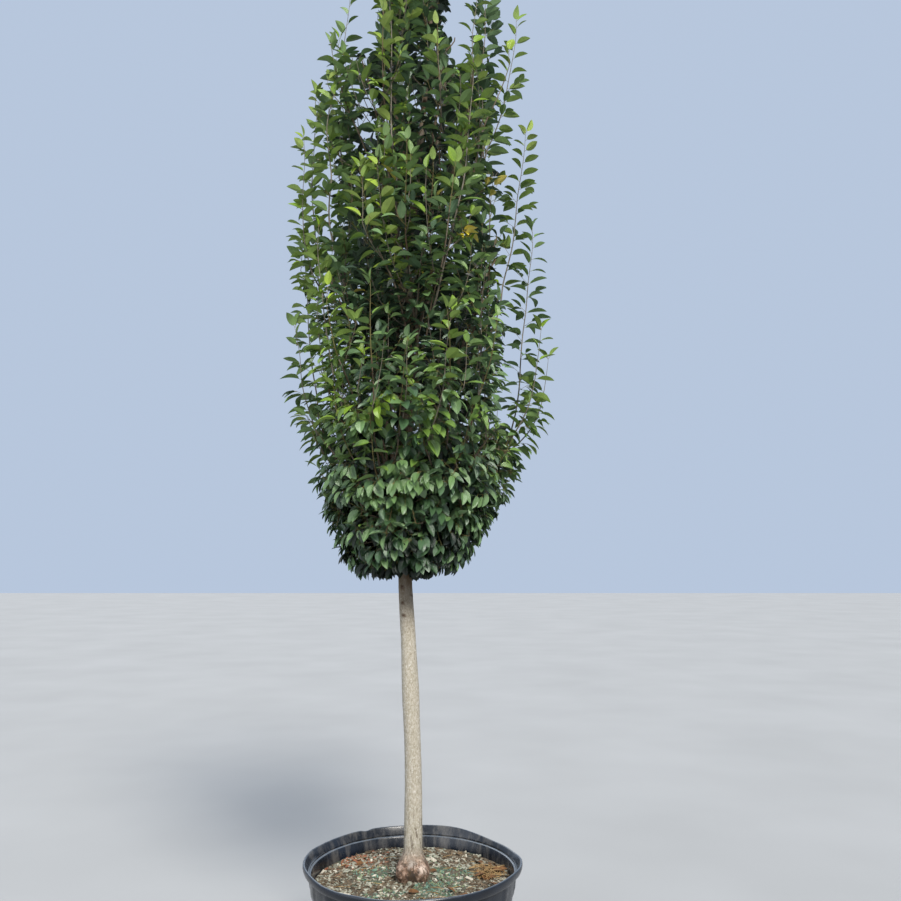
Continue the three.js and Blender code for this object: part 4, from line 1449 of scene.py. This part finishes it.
def mix_height(x, y):
    """Uneven bark compost, heaped a little round the trunk and sunk a little by the wall"""
    distance, relief = math.hypot(x, y), 0.0
    for height, frequency in ((0.0045, 9), (0.0035, 28), (0.002, 75)):
        relief += height * noise.noise(Vector((x, y, 0)) * frequency)
    heap = MIX_HEAP * (1 - smooth((distance - 0.07) / 0.2))
    return MIX_TOP + heap + relief - 0.004 * smooth((distance - 0.3) / 0.07)


def mix_edge(room):
    """How far the top of the compost reaches, some room off the wall"""
    return pot_body_radius(MIX_TOP) - WALL - room


def build_mix(material):
    """The compost's uneven top out to the wall, and a flat underside"""
    edge, foot = mix_edge(MIX_ROOM), MIX_TOP - MIX_DEPTH
    rings = [(edge * (ring / MIX_RINGS), None) for ring in range(MIX_RINGS + 1)]
    rings += [(edge - 0.004, foot), (0.0, foot)]
    corners = []
    for radius, z in rings:
        for side in range(MIX_SIDES):
            azimuth = 2 * math.pi * side / MIX_SIDES
            x, y = radius * math.cos(azimuth), radius * math.sin(azimuth)
            corners.append((x, y, mix_height(x, y) if z is None else z))
    shape = Shape()
    shape.add(corners, ring_triangles(len(rings), MIX_SIDES))
    mix = shape.build("bark_compost", [material])
    weld(mix)
    return mix


def chip(shape, place, size, turn, tilt, draw, slot):
    """One flake of bark: a rough block with uneven corners"""
    length, width, height = size
    cos, sin = math.cos(turn), math.sin(turn)
    corners = []
    for z in (-0.5, 0.5):
        for x, y in ((-0.5, -0.5), (0.5, -0.5), (0.5, 0.5), (-0.5, 0.5)):
            px = x * length * draw(0.6, 1.1)
            py = y * width * draw(0.5, 1.15)
            pz = z * height * draw(0.5, 1.2) + px * tilt
            turned = (px * cos - py * sin, px * sin + py * cos, pz)
            corners.append([start + offset for start, offset in zip(place, turned)])
    faces = (
        (0, 2, 1), (0, 3, 2), (4, 5, 6), (4, 6, 7), (0, 1, 5), (0, 5, 4),
        (1, 2, 6), (1, 6, 5), (2, 3, 7), (2, 7, 6), (3, 0, 4), (3, 4, 7),
    )
    shape.add(corners, faces, slot=slot)


def algae_at(x, y):
    """How green the compost is with algae: patches to the left, right and front of the trunk"""
    total = 0.0
    for px, py, reach in ALGAE:
        total += math.exp(-(((x - px) ** 2 + ((y - py) * 1.2) ** 2) / reach**2))
    return total + 0.5 * noise.noise(Vector((x * 22, y * 22, 1.3)))


def build_chips(materials):
    """Bark flakes over the compost: brown and grey ones everywhere, reddish ones in a drift at the
    back left, and green-grown crumbs in patches round the trunk"""
    draw = seeded(CHIP_SEED)
    shape = Shape()
    edge = mix_edge(CHIP_ROOM)
    red_x, red_y, red_reach = RED_DRIFT
    for _ in range(CHIPS):
        distance = edge * math.sqrt(draw(0, 1))
        azimuth = draw(0, 2 * math.pi)
        x, y = distance * math.cos(azimuth), distance * math.sin(azimuth)
        if distance < 0.05:
            continue
        red = bell(math.hypot(x - red_x, y - red_y), red_reach)
        pick = draw(0, 1)
        length = draw(0.006, 0.020) * (1.9 if draw(0, 1) < 0.12 else 1)
        if pick < 0.6 * red:
            slot = 3
        elif algae_at(x, y) > 0.45 and pick < 0.86:
            slot = 4 if pick < 0.5 else 5
            length *= 0.5
        else:
            slot = 0 if pick < 0.56 else 1 if pick < 0.94 else 2
        size = (length, length * draw(0.3, 0.75), draw(0.0015, 0.0045))
        place = (x, y, mix_height(x, y) + draw(-0.0005, 0.003))
        chip(shape, place, size, draw(0, 2 * math.pi), draw(-0.45, 0.45), draw, slot)
    return shape.build("bark_chips", materials, smooth_faces=False)


def litter_place(in_clump, spread, reach, least, draw):
    """A place in the clump, within its spread, or anywhere up to the reach"""
    if in_clump:
        left, right, front, back = spread
        return CLUMP[0] + draw(left, right), CLUMP[1] + draw(front, back)
    azimuth, distance = draw(0, 2 * math.pi), reach * math.sqrt(draw(least, 1))
    return distance * math.cos(azimuth), distance * math.sin(azimuth)


def build_litter(materials):
    """A clump of dry straw and curled dead leaves at the right, and single bits elsewhere"""
    draw = seeded(LITTER_SEED)
    shape = Shape()
    for k in range(STRAWS):
        in_clump = k < CLUMP_STRAWS
        x, y = litter_place(in_clump, (-0.055, 0.05, -0.055, 0.055), 0.35, 0.05, draw)
        base = mix_height(x, y) + draw(0.002, 0.016 if in_clump else 0.005)
        turn = draw(0, 2 * math.pi)
        length = draw(0.025, 0.06)
        bend = draw(-0.5, 0.5)
        points = []
        for i in range(4):
            s = i / 3 - 0.5
            px = x + length * s * math.cos(turn) - bend * length * s * s * math.sin(turn)
            py = y + length * s * math.sin(turn) + bend * length * s * s * math.cos(turn)
            if math.hypot(px, py) > LITTER_REACH:
                scale = LITTER_REACH / math.hypot(px, py)
                px, py = px * scale, py * scale
            points.append(Vector((px, py, base + 0.012 * (0.25 - s * s))))
        tube(shape, points, tapered(STRAW_RADIUS, STRAW_RADIUS), 4)
    for k in range(DEAD_LEAVES):
        in_clump = k < CLUMP_LEAVES
        x, y = litter_place(in_clump, (-0.05, 0.045, -0.05, 0.05), 0.33, 0.08, draw)
        add_dead_leaf(shape, x, y, draw)
    return shape.build("dry_litter", materials)


def add_dead_leaf(shape, x, y, draw):
    """A curled dry leaf that lies loosely on the compost"""
    first, last = DEAD_LEAF_VARIANTS
    corners, uvs, triangles, _ = leaf_template(first + int(draw(0, last - first)))
    size, turn = draw(0.03, 0.05), draw(0, 2 * math.pi)
    along = Vector((math.cos(turn), math.sin(turn), draw(-0.1, 0.25))).normalized()
    face = (UP + Vector((draw(-0.5, 0.5), draw(-0.5, 0.5), 0))).normalized()
    beside = face.cross(along).normalized()
    face = along.cross(beside)
    foot = Vector((x, y, mix_height(x, y) + draw(0.006, 0.014)))
    placed = [
        tuple(foot + along * (c[0] * size) + beside * (c[1] * size * 0.3) + face * (c[2] * size))
        for c in corners
    ]
    shape.add(placed, triangles, uvs, 1)


# Materials


class Paint:
    """The nodes of one material while it is put together. Colours are given as 0 to 255 as seen on
    a screen, places in metres"""

    def __init__(self, name, roughness, gloss=0.5):
        self.material = bpy.data.materials.new(name)
        self.material.use_nodes = True
        self.tree = self.material.node_tree
        self.shader = self.tree.nodes["Principled BSDF"]
        self.feed(self.shader.inputs["Roughness"], roughness)
        self.feed(self.shader.inputs["Specular IOR Level"], gloss)
        self.place = self.stretched((1, 1, 1))

    def feed(self, socket, value):
        if isinstance(value, bpy.types.NodeSocket):
            self.tree.links.new(value, socket)
        else:
            socket.default_value = value

    def node(self, kind, inputs=None, **settings):
        made = self.tree.nodes.new(kind)
        for key, value in settings.items():
            setattr(made, key, value)
        for key, value in (inputs or {}).items():
            self.feed(made.inputs[key], value)
        return made

    def stretched(self, scale):
        """The place on the object, scaled along each axis"""
        place = self.node("ShaderNodeTexCoord").outputs["Object"]
        return self.node("ShaderNodeMapping", {"Vector": place, "Scale": scale}).outputs["Vector"]

    def part(self, vector, axis):
        return self.node("ShaderNodeSeparateXYZ", {"Vector": vector}).outputs[axis]

    def vector(self, operation, one, other, result):
        made = self.node("ShaderNodeVectorMath", {0: one, 1: other}, operation=operation)
        return made.outputs[result]

    def noise(self, scale, detail=4.0, roughness=0.55, stretch=None):
        place = self.stretched(stretch) if stretch else self.place
        inputs = {"Vector": place, "Scale": scale, "Detail": detail, "Roughness": roughness}
        return self.node("ShaderNodeTexNoise", inputs).outputs["Fac"]

    def maths(self, operation, *values, clamp=False):
        made = self.node("ShaderNodeMath", operation=operation, use_clamp=clamp)
        for socket, value in zip(made.inputs, values):
            self.feed(socket, value)
        return made.outputs[0]

    def times(self, one, other, clamp=False):
        return self.maths("MULTIPLY", one, other, clamp=clamp)

    def plus(self, one, other):
        return self.maths("ADD", one, other)

    def ranged(self, value, start, end, low, high):
        """The low value up to the start, the high value from the end on"""
        inputs = {"Value": value, "From Min": start, "From Max": end, "To Min": low, "To Max": high}
        return self.node("ShaderNodeMapRange", inputs).outputs["Result"]

    def ramp(self, factor, *stops):
        made = self.node("ShaderNodeValToRGB", {"Fac": factor})
        elements = made.color_ramp.elements
        while len(elements) < len(stops):
            elements.new(0.5)
        for element, (position, colour) in zip(elements, stops):
            element.position = position
            element.color = linear(*colour)
        return made.outputs["Color"]

    def over(self, base, colour, share):
        """The base with a colour laid over it by a share"""
        made = self.node("ShaderNodeMix", data_type="RGBA")
        sockets = {socket.identifier: socket for socket in (*made.inputs, *made.outputs)}
        self.feed(sockets["Factor_Float"], share)
        self.feed(sockets["A_Color"], base)
        self.feed(sockets["B_Color"], linear(*colour) if isinstance(colour, tuple) else colour)
        return sockets["Result_Color"]

    def spots(self, spots, strength):
        """Full in the middle of each spot, nothing from its reach on, with an uneven edge"""
        total = 0.0
        uneven = self.plus(self.times(self.noise(110), 2.2), -0.1)
        for x, y, z, reach in spots:
            off = self.vector("DISTANCE", self.place, (x, y, z), "Value")
            far = self.maths("DIVIDE", self.times(off, uneven), reach)
            near = self.maths("SUBTRACT", 1.0, far, clamp=True)
            total = self.maths("MAXIMUM", near, total)
        return self.times(total, strength, clamp=True)

    def finish(self, colour, height, strength, distance):
        """Colour and relief go to the shader"""
        self.feed(self.shader.inputs["Base Color"], colour)
        relief = {"Height": height, "Strength": strength, "Distance": distance}
        bump = self.node("ShaderNodeBump", relief)
        self.feed(self.shader.inputs["Normal"], bump.outputs["Normal"])
        return self.material


def bark_material():
    """Smooth grey-tan bark, finely mottled, with pale lichen and dark specks; darker brown under the
    crown, which is painted shade of the crown; browner at the root burl, with painted shade in its
    recesses and a painted highlight on its swelling, and with short upright cracks just above it"""
    paint = Paint("hornbeam_bark", 0.85, 0.25)
    mottle = paint.noise(170, 5, 0.75, (1, 1, 0.55))
    clouds = paint.noise(26, stretch=(1, 1, 0.4))
    base = paint.ramp(
        mottle,
        (0.30, (112, 103, 86)),
        (0.43, (152, 143, 127)),
        (0.56, (176, 167, 153)),
        (0.70, (201, 194, 185)),
    )
    base = paint.over(base, (140, 136, 114), paint.times(clouds, 0.42))
    specks = paint.maths("GREATER_THAN", paint.noise(300, 2), 0.665)
    base = paint.over(base, (92, 84, 66), paint.times(specks, 0.55))
    lichen = paint.maths("GREATER_THAN", paint.noise(120, 3), 0.66)
    base = paint.over(base, (220, 218, 206), paint.times(lichen, 0.5))
    height = paint.part(paint.place, "Z")
    # Painted shade of the crown: the bark darker brown just below it
    under_crown = paint.ranged(height, 1.30, 1.56, 0.0, 1.2)
    crown_shade = paint.times(under_crown, paint.plus(clouds, 0.18), clamp=True)
    base = paint.over(base, (84, 66, 48), crown_shade)
    knots = [
        (*(trunk_axis(z) + polar(azimuth, trunk_radius(z), 0)), 1.35 * size)
        for z, azimuth, size, _ in KNOTS[:DARK_KNOTS]
    ]
    base = paint.over(base, (70, 50, 36), paint.spots(knots, 1.3))
    brown = paint.ramp(
        paint.noise(60, 5, 0.7),
        (0.36, (38, 26, 20)),
        (0.47, (92, 68, 54)),
        (0.57, (132, 105, 88)),
        (0.72, (184, 160, 142)),
    )
    # The burl's grey scar is its own colour; its recesses get painted shade and its swelling a
    # painted highlight
    for spots, strength, colour in (
        (BURL_SCAR, 1.3, (150, 138, 128)),
        (BURL_SWELLING_HIGHLIGHT, 1.2, (212, 190, 174)),
        (BURL_RECESS_SHADE, 2.4, (44, 28, 22)),
    ):
        brown = paint.over(brown, colour, paint.spots(spots, strength))
    at_root = paint.ranged(height, 0.485, 0.55, 1.0, 0.0)
    base = paint.over(base, brown, paint.times(at_root, 0.92, clamp=True))
    near_foot = paint.ranged(height, 0.58, 0.72, 1.0, 0.0)
    upright = paint.noise(130, 3, 0.6, (1, 1, 0.14))
    cracks = paint.times(paint.maths("LESS_THAN", upright, 0.40), near_foot)
    base = paint.over(base, (74, 60, 44), paint.times(cracks, 0.75))
    return paint.finish(base, paint.plus(mottle, paint.times(cracks, -0.8)), 0.5, 0.0022)


def twig_material(name, old, young):
    """Thin bark, greener where it is young, with fine pale dots"""
    paint = Paint(name, 0.6)
    base = paint.ramp(paint.noise(45), (0.35, old), (0.65, young))
    dots = paint.maths("GREATER_THAN", paint.noise(420, 2), 0.66)
    base = paint.over(base, (185, 170, 140), paint.times(dots, 0.4))
    return paint.finish(base, paint.noise(380, 3), 0.3, 0.0008)


def leaf_material(name, colour, vein, roughness, relief, gloss):
    """A blade with a midrib and even side veins, and a little variation from leaf to leaf"""
    paint = Paint(name, roughness, gloss)
    flat = paint.node("ShaderNodeTexCoord").outputs["UV"]
    off = paint.maths("ABSOLUTE", paint.maths("SUBTRACT", paint.part(flat, "X"), 0.5))
    lines = paint.maths("SUBTRACT", paint.part(flat, "Y"), paint.times(off, VEIN_SLOPE))
    wave = paint.maths("SINE", paint.times(lines, 2 * math.pi * VEIN_PAIRS))
    crest = paint.maths("POWER", paint.plus(paint.times(wave, 0.5), 0.5), 5.0)
    midrib = paint.maths("LESS_THAN", off, MIDRIB_HALF)
    veins = paint.maths("MAXIMUM", paint.times(crest, 0.5), midrib, clamp=True)
    value = paint.ranged(paint.noise(16, 2), 0.3, 0.7, 0.78, 1.24)
    value = paint.times(value, paint.plus(paint.times(paint.noise(170, 3), 0.3), 0.85))
    tinted = paint.node("ShaderNodeHueSaturation", {"Color": linear(*colour), "Value": value})
    base = paint.over(tinted.outputs["Color"], vein, paint.times(veins, 0.42))
    return paint.finish(base, wave, relief, 0.0009)


def pot_material():
    """Dull black polyethylene: faces turned up, as on top of the rim, lighter and bluish with dust
    and a painted highlight of the sky; dust down the inside, clay splashed round the foot"""
    paint = Paint("pot_plastic", 0.5, 0.55)
    fine = paint.noise(60, 4, 0.65)
    paint.feed(paint.shader.inputs["Roughness"], paint.ranged(fine, 0.3, 0.7, 0.2, 0.36))
    base = paint.ramp(paint.noise(7, 5, 0.6), (0.3, (12, 16, 22)), (0.7, (24, 30, 40)))
    scuffs = paint.noise(1.0, 5, 0.7, (9, 9, 90))
    base = paint.over(base, (78, 86, 98), paint.ranged(scuffs, 0.64, 0.82, 0.0, 0.3))
    height = paint.part(paint.place, "Z")
    drops = paint.maths("SUBTRACT", paint.noise(26, 6, 0.75), 0.5)
    low = paint.ranged(paint.plus(height, paint.times(drops, 0.3)), -0.02, 0.13, 0.42, 0.0)
    base = paint.over(base, (126, 103, 84), paint.times(low, paint.plus(fine, 0.3), clamp=True))
    # Faces turned up are lighter and bluish: partly dust, partly a painted highlight of the sky
    facing = paint.node("ShaderNodeNewGeometry").outputs["Normal"]
    level = paint.maths("POWER", paint.maths("MAXIMUM", paint.part(facing, "Z"), 0.0), 5.0)
    base = paint.over(base, (134, 144, 154), paint.times(level, paint.plus(fine, 0.15), clamp=True))
    flat = paint.vector("MULTIPLY", paint.place, (1, 1, 0), "Vector")
    out = paint.vector("NORMALIZE", flat, (0, 0, 0), "Vector")
    inward = paint.maths("LESS_THAN", paint.vector("DOT_PRODUCT", out, facing, "Value"), -0.2)
    streaked = paint.ranged(paint.noise(24, 5, 0.7, (1, 1, 0.2)), 0.46, 0.7, 0.0, 0.55)
    base = paint.over(base, (112, 108, 102), paint.times(inward, streaked))
    return paint.finish(base, paint.noise(240, 3), 0.16, 0.0008)


def earthy_material(name, dark, light, scale=90, roughness=0.92):
    """Crumbly matter between two tones"""
    paint = Paint(name, roughness, 0.2)
    base = paint.ramp(paint.noise(scale, 5, 0.65), (0.32, dark), (0.68, light))
    return paint.finish(base, paint.noise(scale * 5, 4, 0.7), 0.6, 0.002)


def compost_material():
    """Dark compost with blue-green algae in patches"""
    paint = Paint("compost", 0.95)
    crumbs = paint.noise(150, 5, 0.7)
    base = paint.ramp(crumbs, (0.3, (44, 36, 28)), (0.5, (82, 72, 58)), (0.72, (126, 116, 98)))
    patches = paint.ranged(paint.noise(8, 4, 0.6), 0.52, 0.66, 0.0, 0.55)
    base = paint.over(base, (80, 104, 84), patches)
    return paint.finish(base, crumbs, 0.8, 0.004)


def floor_material():
    """Matt ground in two close tones"""
    paint = Paint("studio_floor", 0.9)
    base = paint.ramp(paint.noise(0.8, 2), (0.3, FLOOR_DARK), (0.7, FLOOR_LIGHT))
    paint.feed(paint.shader.inputs["Base Color"], base)
    return paint.material


# Stage


def build_stage():
    """A plain floor, an even sky and three soft suns"""
    half = FLOOR_HALF
    mesh = bpy.data.meshes.new("studio_floor")
    corners = [(-half, -half, 0), (half, -half, 0), (half, half, 0), (-half, half, 0)]
    mesh.from_pydata(corners, [], [(0, 1, 2, 3)])
    mesh.materials.append(floor_material())
    floor = bpy.data.objects.new("studio_floor", mesh)
    scene = bpy.context.scene
    scene.collection.objects.link(floor)
    scene.world = bpy.data.worlds.new("studio")
    scene.world.use_nodes = True
    background = scene.world.node_tree.nodes["Background"]
    background.inputs["Color"].default_value = SKY_COLOUR
    background.inputs["Strength"].default_value = SKY_STRENGTH
    scene.view_settings.view_transform = "Standard"
    for name, place, angle, power, colour in LIGHTS:
        light = bpy.data.lights.new(name, "SUN")
        light.angle = math.radians(angle)
        light.energy = power
        light.color = colour
        lamp = bpy.data.objects.new(name, light)
        lamp.location = place
        lamp.rotation_euler = (-Vector(place)).to_track_quat("-Z", "Y").to_euler()
        scene.collection.objects.link(lamp)


def build_camera():
    """The view of the photo"""
    camera = bpy.data.cameras.new("camera")
    camera.sensor_width = SENSOR
    camera.lens = FOCAL_PIXELS / IMAGE_SIZE * SENSOR
    rig = bpy.data.objects.new("camera", camera)
    rig.location = CAMERA_PLACE
    rig.rotation_euler = (math.pi / 2 + CAMERA_PITCH, 0, 0)
    bpy.context.scene.collection.objects.link(rig)
    bpy.context.scene.camera = rig


# Assembly


def dress():
    """Each piece is built, and the parts of the imported model that it stands for are hidden; all
    ride the one body
    """
    growth = grow_crown()
    limbs = growth.limbs.build("trunk_and_boughs", [bark_material()])
    barks = [
        twig_material("twig_bark", (80, 74, 64), (114, 106, 90)),
        twig_material("shoot_bark", (92, 74, 46), (108, 104, 56)),
    ]
    twigs = growth.twigs.build("twigs", barks)
    stalk = twig_material("stalk", (92, 92, 46), (128, 112, 58))
    stalks = growth.stalks.build("leaf_stalks", [stalk])
    leaves = build_leaves(growth.leaves)
    pot = build_pot(pot_material())
    mix = build_mix(compost_material())
    chips = build_chips([earthy_material(*row) for row in CHIP_COLOURS])
    litter = build_litter([earthy_material(*row) for row in LITTER_COLOURS])

    foliage, boughs = (
        sorted(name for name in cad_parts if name.startswith(kind))
        for kind in ("foliage_", "bough_")
    )
    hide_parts("trunk", *boughs)
    for piece in leaves:
        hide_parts(*foliage)
    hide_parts("pot")
    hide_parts("potting_mix")
    for slot, pieces in (
        ("bark", (limbs, twigs)),
        ("foliage", (stalks, *leaves)),
        ("pot", (pot,)),
        ("potting_mix", (mix, chips, litter)),
    ):
        for piece in pieces:
            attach(piece, "root")


build_camera()
build_stage()
dress()
